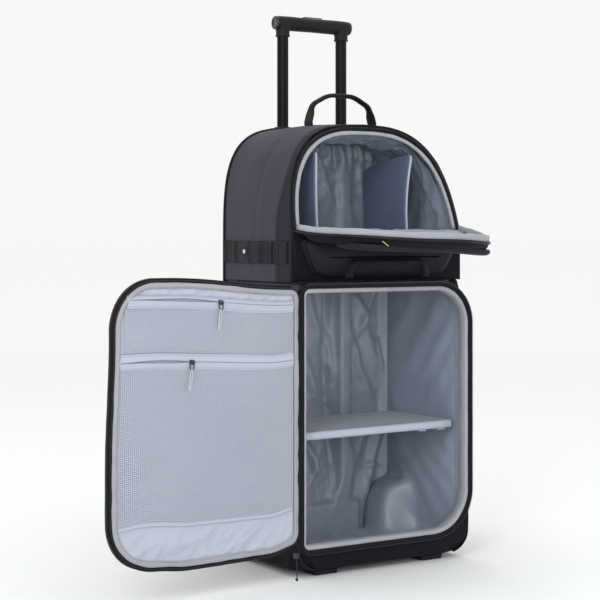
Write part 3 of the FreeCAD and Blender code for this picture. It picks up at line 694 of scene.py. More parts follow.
def shell_point(share, run, start, end, swell):
    front = arch(share, 0.0)
    depth_low = start(front.y, front.x)
    depth_high = end(front.y, front.x)
    y = mix(depth_low, depth_high, run)
    rear = smooth(-100, 140, y)
    spot = arch(share, rear)
    out = (spot - Vector((0, 640))).normalized()
    low = smooth(553, 600, spot.y)
    belly = swell * math.sin(math.pi * smooth(-110, 142, y)) * low
    folds = 1.1 * (ridge((spot.x, y, spot.y * 0.5), 95, 5.5) - 0.3) * smooth(142, 120, y) * smooth(-108, -90, y)
    crease = -1.6 * math.exp(-((y - 14 - 6 * math.sin(spot.y / 70)) / 5) ** 2) * low
    spot = spot + out * (belly + folds + crease)
    return (spot.x, y, max(DECK, spot.y))


def gusset_edge(z, x):
    return 141.5


gusset = sheet_of("upper_gusset_cloth", 150, 34,
                  lambda u, v: shell_point(u, v, seam_depth, gusset_edge, 4.0))
finish(thicken(gusset, 3, 1.0), charcoal_cloth, "bag", ["upper_gusset"])
dark_cloth = woven("dark grey 600 denier polyester", "#1A1A21", "#2B2B34", WEAVE_PITCH, 0.7, 0.05, 0.25, 9.0, 0.14)
front_band = sheet_of("upper_front_band_cloth", 150, 12,
                      lambda u, v: shell_point(u, v, lambda z, x: mouth_depth(z), seam_depth, 4.0))
finish(thicken(front_band, 3, 1.0), dark_cloth, "bag", ["upper_front_band"])
band_seam = [shell_point(k / 150, 0, seam_depth, gusset_edge, 4.0) for k in range(151)]
seam_cord = sweep("upper_gusset_seam", band_seam, round_profile(1.3, 6), (0, -1, 0), closed=False)
finish(seam_cord, black_tape)
stitch_black = woven("black polyester thread", "#0E0E12", "#202026", 0.6, 0.5, 0.05, 0.1, 9.0, 0.15)
seam_stitch = [(Vector(point) + Vector((math.copysign(1.5, point[0]) if point[2] < 800 else 0, 5, 1.2 * smooth(700, 800, point[2]))))
               for point in band_seam]
gusset_stitches = bits_along("upper_gusset_stitches", [(seam_stitch, False)], 4.0, (2.9, 0.6, 0.7), (0, 0, 1),
                             stitch_black)
finish(gusset_stitches, stitch_black)

# Deck between the compartments: it closes the step in front of the upper body.
def deck_point(u, v):
    x, y = mix(-197, 197, u), mix(-141, 100, v)
    corner = min(1.0, max(0.0, (x - 118) / 79))
    drop = 83 * (1 - math.sqrt(1 - corner * corner)) * smooth(-100, -134, y)
    return (x, y, 551.5 + 1.2 * (ridge((x, y, 0), 60, 9.2) - 0.3) - 3.5 * smooth(-134, -141, y) - drop)


deck = sheet_of("middle_deck_cloth", 60, 40, deck_point, skip=lambda p: p.z < 520)
finish(thicken(deck, 4, -1.0), black_cloth, "bag", ["middle_deck"])

LEAN = Vector((0, -math.cos(math.radians(14)), math.sin(math.radians(14))))


def mouth_path(inset, lift=0.0, low=600, steps=150):
    """The mouth's edge from the left foot over the top to the right foot, in the leaning plane."""
    path = []
    for step in range(steps + 1):
        spot = arch(step / steps, 0.0, inset, low)
        path.append(Vector((spot.x, mouth_depth(spot.y), spot.y)) + LEAN * lift)
    return path


mouth_tape = sweep("upper_zip_tape", mouth_path(3.8, low=606),
                   [(4.6, -3), (4.6, 1), (2.5, 3), (-3.4, 2.4), (-4.6, 0), (-4.6, -3)], LEAN, closed=False, wobble=0.05)
finish(mouth_tape, zip_tape)
mouth_teeth = bits_along("upper_zip_teeth", [(mouth_path(3.2, 3.4, 612), False)], 2.6, (1.4, 3.2, 1.8), LEAN, coil)
finish(mouth_teeth, coil)
mouth_ribbon = sweep("upper_binding", [spot for spot in mouth_path(12.0, -0.6) if spot.z > 648], FOLDED, LEAN,
                     closed=False, wobble=0.18)
finish(mouth_ribbon, ribbon)

# Lining of the upper compartment: the same silver-grey cloth, darkened the same way as painted shade. The ceiling hangs
# in a slack fold behind the binding and the rear sheet is gathered into the seam above it.
def upper_lining_point(u, v):
    front = arch(u, 0.0, 13)
    depth_low = mouth_depth(front.y) + 4
    y = mix(depth_low, 106, v)
    spot = arch(u, smooth(-100, 140, y), mix(13, 9, smooth(0, 0.1, v)))
    spot = spot.lerp(arch(u, 1.0, 18), smooth(0.8, 1.0, v))
    out = (spot - Vector((0, 640))).normalized()
    top = smooth(790, 842, spot.y)
    slack = smooth(0.08, 0.24, v)
    fold = 8 * crumple((spot.x * 1.1, y * 0.9 + spot.y * 0.7, spot.y * 0.5), 50, 3.9) * slack * smooth(1.0, 0.86, v)
    hang = top * (13 * math.sin(math.pi * smooth(0.05, 0.9, v)) + 7 * ridge((spot.x, y, 0), 50, 2.9)) * slack
    spot = spot - out * fold - Vector((0, hang))
    return (spot.x, y, max(555, spot.y))


upper_lining = sheet_of("upper_lining_walls", 140, 44, upper_lining_point)
finish(thicken(upper_lining, 0.8, 1.0, 1), lining)


UPPER_PULLS = [(-60, 790, 20, 640, 9, 14), (-90, 760, -20, 600, 8, 12), (0, 800, 44, 690, 7, 11), (-110, 700, -50, 575, 8, 12),
               (100, 790, 150, 650, 8, 12), (60, 740, 120, 590, 8, 12), (-140, 740, -110, 620, 7, 10), (-30, 700, 40, 590, 7, 11)]


def upper_rear_point(u, v):
    side = arch(0.5 * v, 1.0, 12)
    x = side.x * (1 - 2 * u)
    z = side.y
    tube = math.exp(-((abs(x) - 71.5) / 17) ** 4)
    y = mix(113, 104, tube)
    y -= (pulls(x, z, UPPER_PULLS) + 3 * crumple((x, 0, z), 50, 11.3)) * (1 - 0.6 * tube) * smooth(1.0, 0.9, v)
    gathers = 5 * math.sin(x / 4.2 + 2 * noise.noise(Vector((x / 20, z / 30, 1))))
    y -= gathers * smooth(760, 800, z) * smooth(835, 815, z) * 0.8
    return (x, max(101, y), z)


upper_rear = sheet_of("upper_lining_rear", 90, 90, upper_rear_point)
finish(thicken(upper_rear, 0.8, 1.0), lining)


def upper_floor_point(u, v):
    x, y = mix(-188, 188, u), mix(-104, 106, v)
    return (x, y, 556 + 2.0 * crumple((x, y, 0), 60, 4.1))


upper_floor = sheet_of("upper_lining_floor", 60, 40, upper_floor_point)
finish(thicken(upper_floor, 0.8, -1.0), lining)

# ------------------------------------------------------------------ main door
# A padded panel hinged on the bag's left: black cloth outside, pale lining inside, with zip tape and a folded
# ribbon round its edge. It is drawn shut from its hinge line and swung open, where it sags and bows a little.
DOOR_PIVOT = Vector((-206.5, -150.5, 0))
DOOR_TURN = Matrix.Rotation(math.radians(-174.4), 3, "Z")
DOOR_WIDE, DOOR_LOW, DOOR_HIGH = 409, 50, 556
DOOR_IN = DOOR_TURN @ Vector((0, 1, 0))


def on_door(u, v, z):
    """A point on the door: u across from the hinge, v towards its inner face, z up, with the cloth's sag."""
    up = (z - DOOR_LOW) / (DOOR_HIGH - DOOR_LOW)
    top_sag = mix(-12, 7, smooth(10, 290, u))
    low_sag = 5 + 13 * smooth(70, 0, u) + 8 * smooth(240, 330, u) - 6 * smooth(340, 409, u)
    across = u - 8 * smooth(230, 470, z) * u / DOOR_WIDE
    bow = 2.2 * math.sin(math.pi * min(1, max(0, u / DOOR_WIDE))) * math.sin(math.pi * min(1, max(0, up)))
    return DOOR_PIVOT + DOOR_TURN @ Vector((across, v + bow, z + mix(low_sag, top_sag, up)))


def door_loop(inset, **counts):
    """The door's outline, set in from its edge."""
    hinge = 1 + inset * 0.55
    return rounded_loop([(hinge, 50 + inset, 26 - min(inset, 16)), (409 - inset, 50 + inset, 95 - inset),
                         (409 - inset, 556 - inset, 85 - inset), (hinge, 556 - inset, 26 - min(inset, 16))], **counts)


def door_ring(inset, v, ripple=0.0, seed=0.0, **counts):
    ring = []
    for spot in door_loop(inset, **counts):
        thin = smooth(30, 8, spot.x)
        lift = ripple * (ridge((spot.x, 0, spot.y), 30, seed) - 0.3)
        ring.append(on_door(spot.x, mix(v, max(v, -3.4), thin) + lift, spot.y))
    return ring


middle = Vector((205, 303))
rings = [door_ring(8, -2.6), door_ring(5, -3.4), door_ring(3.4, -6), door_ring(4, -9.5), door_ring(7.5, -12.2)]
for share in (0.94, 0.86, 0.74, 0.6, 0.45, 0.3, 0.15, 0):
    ring = []
    for spot in door_loop(8):
        spot = middle + (spot - middle) * share
        thin = smooth(30, 8, spot.x)
        lump = 2.0 * ridge((spot.x, 0, spot.y), 95, 14.2)
        ring.append(on_door(spot.x, mix(-13.4 - 1.6 * (1 - share) + lump * 0.6, -3.4, thin), spot.y))
    rings.append(ring)
door_shell = weld(loft("door_outer_cloth", rings))
finish(thicken(door_shell, 2, 1.0, 1), black_cloth, "main_door", ["door_panel"])

# Two stitched seams divide the outside of the door into three panels, over a padded insert.
for name, level in (("upper", 430), ("lower", 176)):
    seam = [on_door(u, -14.4 + 1.2 * smooth(330, 404, u) - 0.2, level) for u in range(30, 404, 11)]
    welt = sweep(f"door_welt_{name}", seam, round_profile(1.8, 8, 0.7), DOOR_IN, closed=False)
    finish(welt, black_tape, "main_door")

free_edge = [spot for spot in door_loop(3.2, **fine) if spot.x > 17]
free_edge = sorted(free_edge, key=lambda spot: math.atan2(spot.y - 303, spot.x - 40))
door_tape = sweep("door_zip_tape", [on_door(spot.x, -6.2, spot.y) for spot in free_edge],
                  [(2.6, -4), (3.4, -1), (3.4, 3), (1.5, 5), (-3, 5.2), (-4.5, 3), (-4.5, -4)], DOOR_IN, closed=False,
                  wobble=0.08)
finish(door_tape, zip_tape, "main_door", ["door_zip_rim"])
door_teeth = bits_along("door_zip_teeth", [([on_door(spot.x, -0.4, spot.y) for spot in free_edge], False)], 2.6,
                        (1.4, 3.0, 1.8), DOOR_IN, coil)
finish(door_teeth, coil, "main_door")

ribbon_path = [on_door(spot.x, -2.2, spot.y) for spot in door_loop(11.5, **fine)]
door_ribbon = sweep("door_binding", ribbon_path,
                    [(5.4, -1), (5.0, 2.4), (2.5, 3.6), (-2, 3.4), (-4.6, 2.2), (-5.4, -1), (0, -1.5)],
                    DOOR_IN, wobble=0.16)
finish(door_ribbon, ribbon, "main_door")
door_stitches = bits_along("door_binding_stitches",
                           [([on_door(spot.x, 1.35, spot.y) for spot in door_loop(14.4, **fine)], True)],
                           4.2, (3.0, 0.5, 0.5), DOOR_IN, stitch_thread)
finish(door_stitches, stitch_thread, "main_door")

# Inside of the door: a pale lining with diagonal folds above and below the pockets, flat behind the mesh.
pale = woven("pale lavender grey polyester lining", "#A3A8B6", "#BBBFCB", 1.1, 0.45, 0.2, 0.08, 6.0)
POCKET_HIGH_ZIP, POCKET_LOW_ZIP, MESH_LOW = 521, 414, 128


def door_lining_point(u, v):
    z = mix(60, 546, v)
    room = 95 if z < 300 else 85
    edge_z = 50 if z < 300 else 556
    over = max(0.0, room - abs(z - edge_z))
    limit = DOOR_WIDE - 12 - (room - math.sqrt(max(0.0, room * room - over * over)))
    spot_u = 12 + (limit - 12) * u
    loose = smooth(136, 100, z) + smooth(524, 534, z)
    border = smooth(0, 0.03, u) * smooth(1, 0.97, u) * smooth(0, 0.03, v) * smooth(1, 0.97, v)
    slant = (spot_u * 0.7 + z * 0.75, 0, z * 0.35 - spot_u * 0.12)
    lift = (3.4 * loose + 0.5) * crumple(slant, 42, 15.6) * border
    return on_door(spot_u, -3.2 + lift, z)


door_lining = sheet_of("door_lining", 130, 150, door_lining_point)
finish(thicken(door_lining, 0.8, 1.0), pale, "main_door")

# Mesh pocket fronts: knitted polyester with square holes. One tree turns the edges of a grid into flat strands.
net_tree = bpy.data.node_groups.new("open mesh strands", "GeometryNodeTree")
net_face = net_tree.interface
net_face.new_socket("Geometry", in_out="INPUT", socket_type="NodeSocketGeometry")
net_sockets = {}
for label, kind, value in (("Strand Width", "NodeSocketFloat", 0.0019), ("Strand Thickness", "NodeSocketFloat", 0.0004),
                           ("Facing", "NodeSocketVector", (0.0, -1.0, 0.0)), ("Material", "NodeSocketMaterial", None)):
    socket = net_face.new_socket(label, in_out="INPUT", socket_type=kind)
    if value is not None:
        socket.default_value = value
    net_sockets[label] = socket.identifier
net_face.new_socket("Geometry", in_out="OUTPUT", socket_type="NodeSocketGeometry")
net_in = add_node(net_tree, "NodeGroupInput")
net_lines = add_node(net_tree, "GeometryNodeMeshToCurve", {"Mesh": net_in.outputs["Geometry"]})
net_turned = add_node(net_tree, "GeometryNodeSetCurveNormal",
                      {"Curve": net_lines.outputs[0], "Normal": net_in.outputs["Facing"]}, mode="FREE")
net_profile = add_node(net_tree, "GeometryNodeCurvePrimitiveQuadrilateral",
                       {"Width": net_in.outputs["Strand Thickness"], "Height": net_in.outputs["Strand Width"]})
net_strands = add_node(net_tree, "GeometryNodeCurveToMesh",
                       {"Curve": net_turned.outputs[0], "Profile Curve": net_profile.outputs[0]})
net_real = add_node(net_tree, "GeometryNodeRealizeInstances", {"Geometry": net_strands.outputs[0]})
net_painted = add_node(net_tree, "GeometryNodeSetMaterial",
                       {"Geometry": net_real.outputs[0], "Material": net_in.outputs["Material"]})
add_node(net_tree, "NodeGroupOutput", {"Geometry": net_painted.outputs[0]})

net_yarn = woven("lavender grey knitted mesh", "#A4A9B7", "#B9BDC9", 0.9, 0.6, 0.2, 0.1)
MESH_PITCH = 3.8


def net_pocket(name, low_z, high_z, end, belly, seed, stands_for):
    columns = round((end - 17) / MESH_PITCH)
    rows = round((high_z - low_z) / MESH_PITCH)

    def net_point(u, v):
        spot_u, z = mix(17, end, u), mix(low_z, high_z, v)
        z += 5.5 * smooth(0.55, 0, v) * (u - 0.35)
        edge = smooth(0, 0.10, u) * smooth(1, 0.9, u)
        full = belly * edge * math.sin(math.pi * min(1.0, v * 0.92))
        lump = 1.5 * (ridge((spot_u * 0.8 + z * 0.3, 0, z), 64, seed) - 0.25) * edge * smooth(0, 0.1, v)
        return on_door(spot_u, -1.4 + full + lump, z)

    grid = sheet_of(name + "_grid", columns, rows, net_point)
    layer = grid.modifiers.new("strands", "NODES")
    layer.node_group = net_tree
    layer[net_sockets["Strand Width"]] = 1.9 * MM
    layer[net_sockets["Strand Thickness"]] = 0.4 * MM
    layer[net_sockets["Facing"]] = DOOR_IN
    layer[net_sockets["Material"]] = net_yarn
    depsgraph = bpy.context.evaluated_depsgraph_get()
    mesh = bpy.data.meshes.new_from_object(grid.evaluated_get(depsgraph))
    bpy.data.objects.remove(grid)
    piece = bpy.data.objects.new(name, mesh)
    scene.collection.objects.link(piece)
    finish(piece, net_yarn, "main_door", [stands_for])
    return net_point


lower_net = net_pocket("mesh_pocket_lower", MESH_LOW, 402, 395, 2.4, 17.2, "door_mesh_lower")
upper_net = net_pocket("mesh_pocket_upper", 427, 507, 383, 1.6, 19.8, "door_mesh_upper")

# Each pocket closes with a pale concealed zip: two tapes whose folded lips meet, apart where the zip is open.
for name, level, along, end, low_reach, high_reach, low_stands in (
    ("upper", POCKET_HIGH_ZIP, 184, 380, 15, 7, "pocket_zip_upper"),
    ("lower", POCKET_LOW_ZIP, 247, 396, 13, 14, "pocket_zip_lower"),
):
    for side, reach, sign in (("low", low_reach, -1), ("high", high_reach, 1)):
        def lip_point(u, v):
            spot_u = mix(15, end, u)
            gap = 2.6 * math.sin(math.pi * smooth(along, end + 6, spot_u) ** 0.55) if spot_u > along else 0.0
            droop = -2.2 * math.sin(math.pi * u)
            step = 0.35 + gap + (reach - gap) * v
            lift = 2.0 * (1 - v) ** 2 + 0.4 + gap * 0.5 * (1 - v)
            lift += 0.7 * (ridge((spot_u, 0, level + v * 9), 26, 21.3 + sign) - 0.3) * v
            return on_door(spot_u, -0.9 + lift, level + droop + sign * step)

        lip = sheet_of(f"pocket_zip_{name}_{side}", 110, 6, lip_point)
        finish(thicken(lip, 0.9, 0.0), pale, "main_door", [low_stands] if sign > 0 else [])
        edge = [lip_point(k / 110, 0.75) + DOOR_IN * 0.6 for k in range(111)]
        row = bits_along(f"pocket_stitches_{name}_{side}", [(edge, False)], 3.8, (2.6, 0.45, 0.4), DOOR_IN, stitch_thread)
        finish(row, stitch_thread, "main_door")

# Lower hem of the big mesh pocket, a narrow folded tape.
hem_path = [lower_net(k / 90, 0.0) + DOOR_IN * 0.3 for k in range(91)]
hem = sweep("mesh_pocket_hem", hem_path, [(-3, -0.4), (-2.6, 0.5), (2.6, 0.5), (3, -0.4)], DOOR_IN, closed=False)
finish(hem, pale, "main_door")

# Pocket sliders: black die-cast bodies with a wire ring and a soft grey pull loop. Each slider runs along its zip
# and the ring with its pull swings from it.
lacquer = bpy.data.materials.new("black lacquered die-cast zinc")
lacquer.use_nodes = True
lacquer_tree = lacquer.node_tree
lacquer_where = add_node(lacquer_tree, "ShaderNodeTexCoord")
lacquer_wear = add_node(lacquer_tree, "ShaderNodeTexNoise", {"Vector": lacquer_where.outputs["Object"], "Scale": 420.0,
                                                             "Detail": 3.0})
lacquer_colour = add_node(lacquer_tree, "ShaderNodeValToRGB", {"Fac": lacquer_wear.outputs["Fac"]})
lacquer_colour.color_ramp.elements[0].position = 0.45
lacquer_colour.color_ramp.elements[0].color = srgb("#0D0D10")
lacquer_colour.color_ramp.elements[1].position = 0.75
lacquer_colour.color_ramp.elements[1].color = srgb("#2A2A30")
lacquer_tree.links.new(lacquer_colour.outputs[0], lacquer_tree.nodes["Principled BSDF"].inputs["Base Color"])
lacquer_tree.nodes["Principled BSDF"].inputs["Roughness"].default_value = 0.28
lacquer_tree.nodes["Principled BSDF"].inputs["Coat Weight"].default_value = 0.4


def rounded_block(name, low, high, radius, to_world):
    """A box with rounded edges between two corners in local millimetres, put in place by a function."""
    work = bmesh.new()
    bmesh.ops.create_cube(work, size=1)
    for corner in work.verts:
        corner.co = Vector(mix(low[k], high[k], corner.co[k] + 0.5) for k in range(3))
    bmesh.ops.bevel(work, geom=work.edges, offset=radius, segments=3, profile=0.5, affect="EDGES")
    for corner in work.verts:
        corner.co = Vector(to_world(*corner.co))
    points = [corner.co.copy() for corner in work.verts]
    work.verts.index_update()
    faces = [[corner.index for corner in face.verts] for face in work.faces]
    work.free()
    return outward(build(name, points, faces))


def join(name, pieces):
    """Several mesh objects made one."""
    work = bmesh.new()
    for piece in pieces:
        work.from_mesh(piece.data)
        bpy.data.objects.remove(piece)
    mesh = bpy.data.meshes.new(name)
    work.to_mesh(mesh)
    work.free()
    joined = bpy.data.objects.new(name, mesh)
    scene.collection.objects.link(joined)
    return joined


pull_rubber = woven("grey soft-touch pull loop", "#A9ABB6", "#BEC0CA", 2.2, 0.45, 0.2, 0.1)
for name, level, along in (("upper", POCKET_HIGH_ZIP, 184), ("lower", POCKET_LOW_ZIP, 247)):
    drop = -2.2 * math.sin(math.pi * along / 390) - 0.5
    centre = lambda u, v, z: on_door(along + u, v, level + z + drop)
    body = join(f"pocket_slider_{name}", [
        rounded_block("part", (-6, 0.6, -4.4), (5, 2.6, 4.4), 0.9, centre),
        rounded_block("part", (-7.5, 0.9, -2.6), (-4, 2.4, 2.6), 0.7, centre),
        rounded_block("part", (-3.4, 2.2, -1.1), (3.4, 4.2, 1.1), 0.7, centre)])
    finish(body, lacquer, f"{name}_slider", [f"zip_slider_{name}"])
    ring_path = [centre(4.4 * math.cos(a) + 1.0, 4.6, -6.2 + 7.4 * math.sin(a)) for a in
                 (math.tau * k / 28 for k in range(28))]
    wire = sweep(f"pull_ring_{name}", ring_path, round_profile(1.15, 8), DOOR_IN)
    finish(wire, lacquer, f"{name}_puller")
    loop_path = []
    for k in range(40):
        turn = math.tau * k / 40
        wide = 3.1 + 1.3 * smooth(-0.2, -1.0, math.sin(turn)) - 1.1 * math.exp(-((math.sin(turn) + 0.1) / 0.5) ** 2)
        loop_path.append(centre(2.2 + wide * math.cos(turn) + 3.2 * smooth(0.6, -1, math.sin(turn)), 5.0,
                                -30.5 + 17.5 * math.sin(turn)))
    pull = sweep(f"pull_loop_{name}", loop_path, round_profile(1.25, 8, 0.8), DOOR_IN)
    tip = rounded_block("tip", (2.6, 4.2, -49), (8.6, 6.2, -40), 0.9, centre)
    finish(join(f"pull_{name}", [pull, tip]), pull_rubber, f"{name}_puller", [f"zip_puller_{name}"])

# Cloth hinge of the door: the face cloth runs on from the body into the door's edge and folds at the seam.
def hinge_point(u, v):
    z = mix(58, 540, v)
    start = Vector((-200, -143, z))
    end = on_door(9, -1.5, mix(DOOR_LOW + 12, DOOR_HIGH - 12, v))
    spot = start.lerp(end, u)
    return spot + Vector((-1.5, -4.5, 0)) * math.sin(math.pi * u) + Vector((0, 0.8, 0)) * noise.noise(Vector((0, u, z / 30)))


door_hinge_cloth = sheet_of("door_hinge_cloth", 10, 60, hinge_point)
thicken(door_hinge_cloth, 1.2, 0.0)
finish(door_hinge_cloth, black_tape, None)
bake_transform(door_hinge_cloth)

# ------------------------------------------------------------------ pull cord
# A thin black braided cord, about 40 mm long, tied through the parked main slider; it ends in its own knot.
CORD_ROUTE = [(-0.2115, -0.146, 0.044), (-0.2115, -0.147, 0.035), (-0.213, -0.1505, 0.026), (-0.2165, -0.156, 0.0175),
              (-0.220, -0.161, 0.011)]
cord_line = bpy.data.curves.new("zip_cord", "CURVE")
cord_line.dimensions = "3D"
cord_line.bevel_depth = 0.0011
cord_line.bevel_resolution = 4
cord_line.use_fill_caps = True
strand = cord_line.splines.new("NURBS")
strand.points.add(len(CORD_ROUTE) - 1)
for target, point in zip(strand.points, CORD_ROUTE):
    target.co = (*point, 1)
strand.order_u = 3
strand.use_endpoint_u = True
strand.resolution_u = 12
cord_piece = bpy.data.objects.new("zip_cord", cord_line)
scene.collection.objects.link(cord_piece)
braid = woven("black braided polyester cord", "#101014", "#26262C", 0.9, 0.55, 0.15, 0.2)
finish(cord_piece, braid, "main_door", ["zip_pull_cord"])

knot_low, knot_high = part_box("cord_knot")
knot_middle = (knot_low + knot_high) / 2 / MM
knot_path = []
for k in range(48):
    turn = math.tau * k / 48
    knot_path.append(knot_middle + Vector((1.55 * math.cos(2 * turn) * (1 + 0.25 * math.cos(3 * turn)),
                                           1.55 * math.sin(2 * turn) * (1 + 0.25 * math.cos(3 * turn)),
                                           1.4 * math.sin(3 * turn))))
knot = sweep("cord_end_knot", knot_path, round_profile(1.1, 8), (0.1, 0.2, 1))
finish(knot, braid, "main_door", ["cord_knot"])
main_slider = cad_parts["main_zip_slider"]
main_slider.data.materials.clear()
main_slider.data.materials.append(lacquer)

# ------------------------------------------------------------------ upper flap
# A padded lid that zips up over the mouth: black outside with a flat zipped pocket, pale lining inside and the same
# ribbon round the edge. Undone, it falls forward and lies nearly level with its outside down.
FLAP_PIVOT = Vector((0, -111, 650))
FLAP_TURN = Matrix.Rotation(math.radians(187), 3, "X")
FLAP_OUT = FLAP_TURN @ Vector((0, 0, 1))


def on_flap(x, y, z):
    """A point on the flap: y out from the hinge line, z towards its outside; the loose edge droops to the right."""
    droop = 11 * smooth(20, 150, y) * smooth(20, 190, x) - 9 * smooth(30, 190, y) - 3 * smooth(60, -150, x)
    return FLAP_PIVOT + FLAP_TURN @ Vector((x, y, z + droop))


def flap_ring(inset, share=1.0, steps=90):
    """Flap outline points (x, y) set in from the edge and drawn in towards the middle of the flap."""
    ring = []
    for step in range(steps + 1):
        spot = arch(mix(0.155, 0.845, step / steps), 0.0, inset)
        ring.append(Vector((spot.x, max(3 + inset, (spot.y - 650) * 1.03))))
    first, last = ring[0], ring[-1]
    for step in range(1, 30):
        ring.append(last.lerp(first, step / 30))
    centre = Vector((0, 92))
    return [centre + (spot - centre) * share for spot in ring]


rings = []
for inset, share, z in ((7, 1, 2.2), (4.5, 1, 1.8), (3.2, 1, 4), (3.0, 1, 9), (3.6, 1, 14), (6, 1, 18), (12, 1, 20.5),
                        (22, 1, 21.5), (34, 1, 22), (34, 0.85, 22.4), (34, 0.68, 22.6), (34, 0.5, 22.8),
                        (34, 0.3, 22.8), (34, 0.1, 22.8), (34, 0, 22.8)):
    ring = []
    for spot in flap_ring(inset, share):
        near_hinge = smooth(46, 8, spot.y)
        lump = 1.4 * ridge((spot.x, spot.y * 1.4, 0), 70, 31.1) * smooth(10, 16, z)
        ring.append(on_flap(spot.x, spot.y, mix(z + lump, min(z, 4.5), near_hinge)))
    rings.append(ring)
flap_shell = weld(loft("flap_outer_cloth", rings))
finish(thicken(flap_shell, 2, 1.0, 1), black_cloth, "upper_flap", ["flap_panel"])


def pouch_outline(share, half, near, far, power=3.2):
    angle = math.tau * share
    x = half * math.copysign(abs(math.cos(angle)) ** (2 / power), math.cos(angle))
    y = mix(near, far, 0.5 + 0.5 * math.copysign(abs(math.sin(angle)) ** (2 / power), math.sin(angle)))
    return x, y


rings = []
for shrink, z in ((0, 19), (-2, 23), (-1, 27), (3, 30), (9, 31.4), (30, 32.2), (48, 32.4), (66, 32.2)):
    ring = []
    for k in range(96):
        x, y = pouch_outline(k / 96, 156 - shrink * 1.6, 46 + shrink, 188 - shrink)
        lump = 1.8 * (ridge((x, y, 0), 46, 33.3) - 0.2) * smooth(24, 29, z)
        ring.append(on_flap(x, y, z + lump))
    rings.append(ring)
flap_pocket = loft("flap_pocket_cloth", rings)
work = bmesh.new()
work.from_mesh(flap_pocket.data)
bmesh.ops.holes_fill(work, edges=[edge for edge in work.edges if edge.is_boundary and
                                  min(corner.index for corner in edge.verts) > 96 * 6])
work.to_mesh(flap_pocket.data)
work.free()
finish(thicken(outward(flap_pocket), 1.5, -1.0, 1), dark_cloth, "upper_flap", ["flap_pocket"])

flap_edge = flap_ring(2.5)[:91]
flap_tape = sweep("flap_zip_tape", [on_flap(spot.x, spot.y, 6.4) for spot in flap_edge],
                  [(-3, -3.4), (1.4, -3.2), (2.4, 0), (1.8, 2.6), (-3, 3)], -FLAP_OUT, closed=False, wobble=0.08)
finish(flap_tape, zip_tape, "upper_flap")
flap_teeth = bits_along("flap_zip_teeth", [([on_flap(spot.x, spot.y, 6) for spot in flap_ring(0.4)[:91]], False)], 2.6,
                        (1.4, 1.8, 3.0), -FLAP_OUT, coil)
finish(flap_teeth, coil, "upper_flap")
flap_ribbon = sweep("flap_binding", [on_flap(spot.x, spot.y, 0) for spot in flap_ring(4.5)[:91]],
                    [(1.8, -4.4), (2.6, 0), (2.2, 5.4), (0.8, 7.8), (-1.2, 7.6), (-2.4, 5), (-2.8, 0), (-2.4, -7), (0, -6)],
                    -FLAP_OUT, closed=False, wobble=0.3)
finish(flap_ribbon, ribbon, "upper_flap")


def flap_lining_point(u, v):
    y = mix(4, 196, v)
    edge = arch(mix(0.155, 0.5, v ** 1.35), 0.0, 9)
    half = abs(edge.x) * (1 if v < 1 else 0)
    y = min(y, (edge.y - 650) * 1.03 + 1) if v > 0.02 else y
    x = mix(-half, half, u)
    lift = 1.6 * crumple((x * 0.8, y, 0), 48, 35.2) * smooth(0, 0.06, u) * smooth(1, 0.94, u)
    return on_flap(x, y, mix(12, 1.2, smooth(62, 10, y)) - lift - 6 * smooth(0.9, 1.0, v))


flap_lining = sheet_of("flap_lining", 80, 60, flap_lining_point)
finish(thicken(flap_lining, 0.8, 0.0), lining, "upper_flap")


# A small plain lime tab is sewn into the rim, the only colour on the bag. The cloth hinge folds along the panel.
lime = woven("pale lime woven tab", "#AEB45A", "#C9CE7C", 1.2, 0.6, 0.15, 0.1)
tab_at = flap_ring(0.4)[27]
tab = sweep("lime_tab", [on_flap(tab_at.x - 7 + 3.5 * k, tab_at.y + 0.4, 12 + 2.2 * k) for k in range(5)],
            [(-0.9, -0.6), (0.9, -0.6), (0.9, 0.6), (-0.9, 0.6)], FLAP_OUT, closed=False)
finish(tab, lime, "upper_flap")


def flap_hinge_point(u, v):
    x = mix(-190, 190, u)
    start = Vector((x, -113.5, 642))
    end = on_flap(x, 12, 5.5)
    mid = Vector((x, -117, 648 - 3 * abs(x) / 190))
    return start.lerp(mid, v).lerp(mid.lerp(end, v), v)


flap_hinge_cloth = thicken(sheet_of("flap_hinge_cloth", 60, 8, flap_hinge_point), 1.2, 0.0)
finish(flap_hinge_cloth, black_cloth, None)
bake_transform(flap_hinge_cloth)

# ------------------------------------------------------------------ front panel, organiser pocket and grab handle
# Under the flap the upper body has a fixed black panel with a tapered pocket, puffed by its foam, whose top edge
# hides under the flap. A rolled webbing handle is bar-tacked across it.
def panel_point(u, v):
    x, z = mix(-197, 197, u), mix(DECK + 1, 650, v)
    return (x, -110 + 1.5 * (ridge((x, 0, z), 40, 41.1) - 0.3), z)


panel = thicken(sheet_of("upper_front_panel_cloth", 70, 24, panel_point), 3, 1.0)
finish(panel, black_cloth, "bag", ["upper_front_panel"])


def pocket_outline(share, shrink):
    """The tapered pocket's outline: wide at the top, narrow at the bottom, with soft corners."""
    angle = math.tau * share
    power = 2 / 7.0
    across = math.copysign(abs(math.cos(angle)) ** power, math.cos(angle))
    up = math.copysign(abs(math.sin(angle)) ** power, math.sin(angle))
    z = mix(559 + shrink, 634 - shrink, 0.5 + 0.5 * up)
    half = mix(150, 187, (z - 559) / 75) - shrink
    return half * across, z


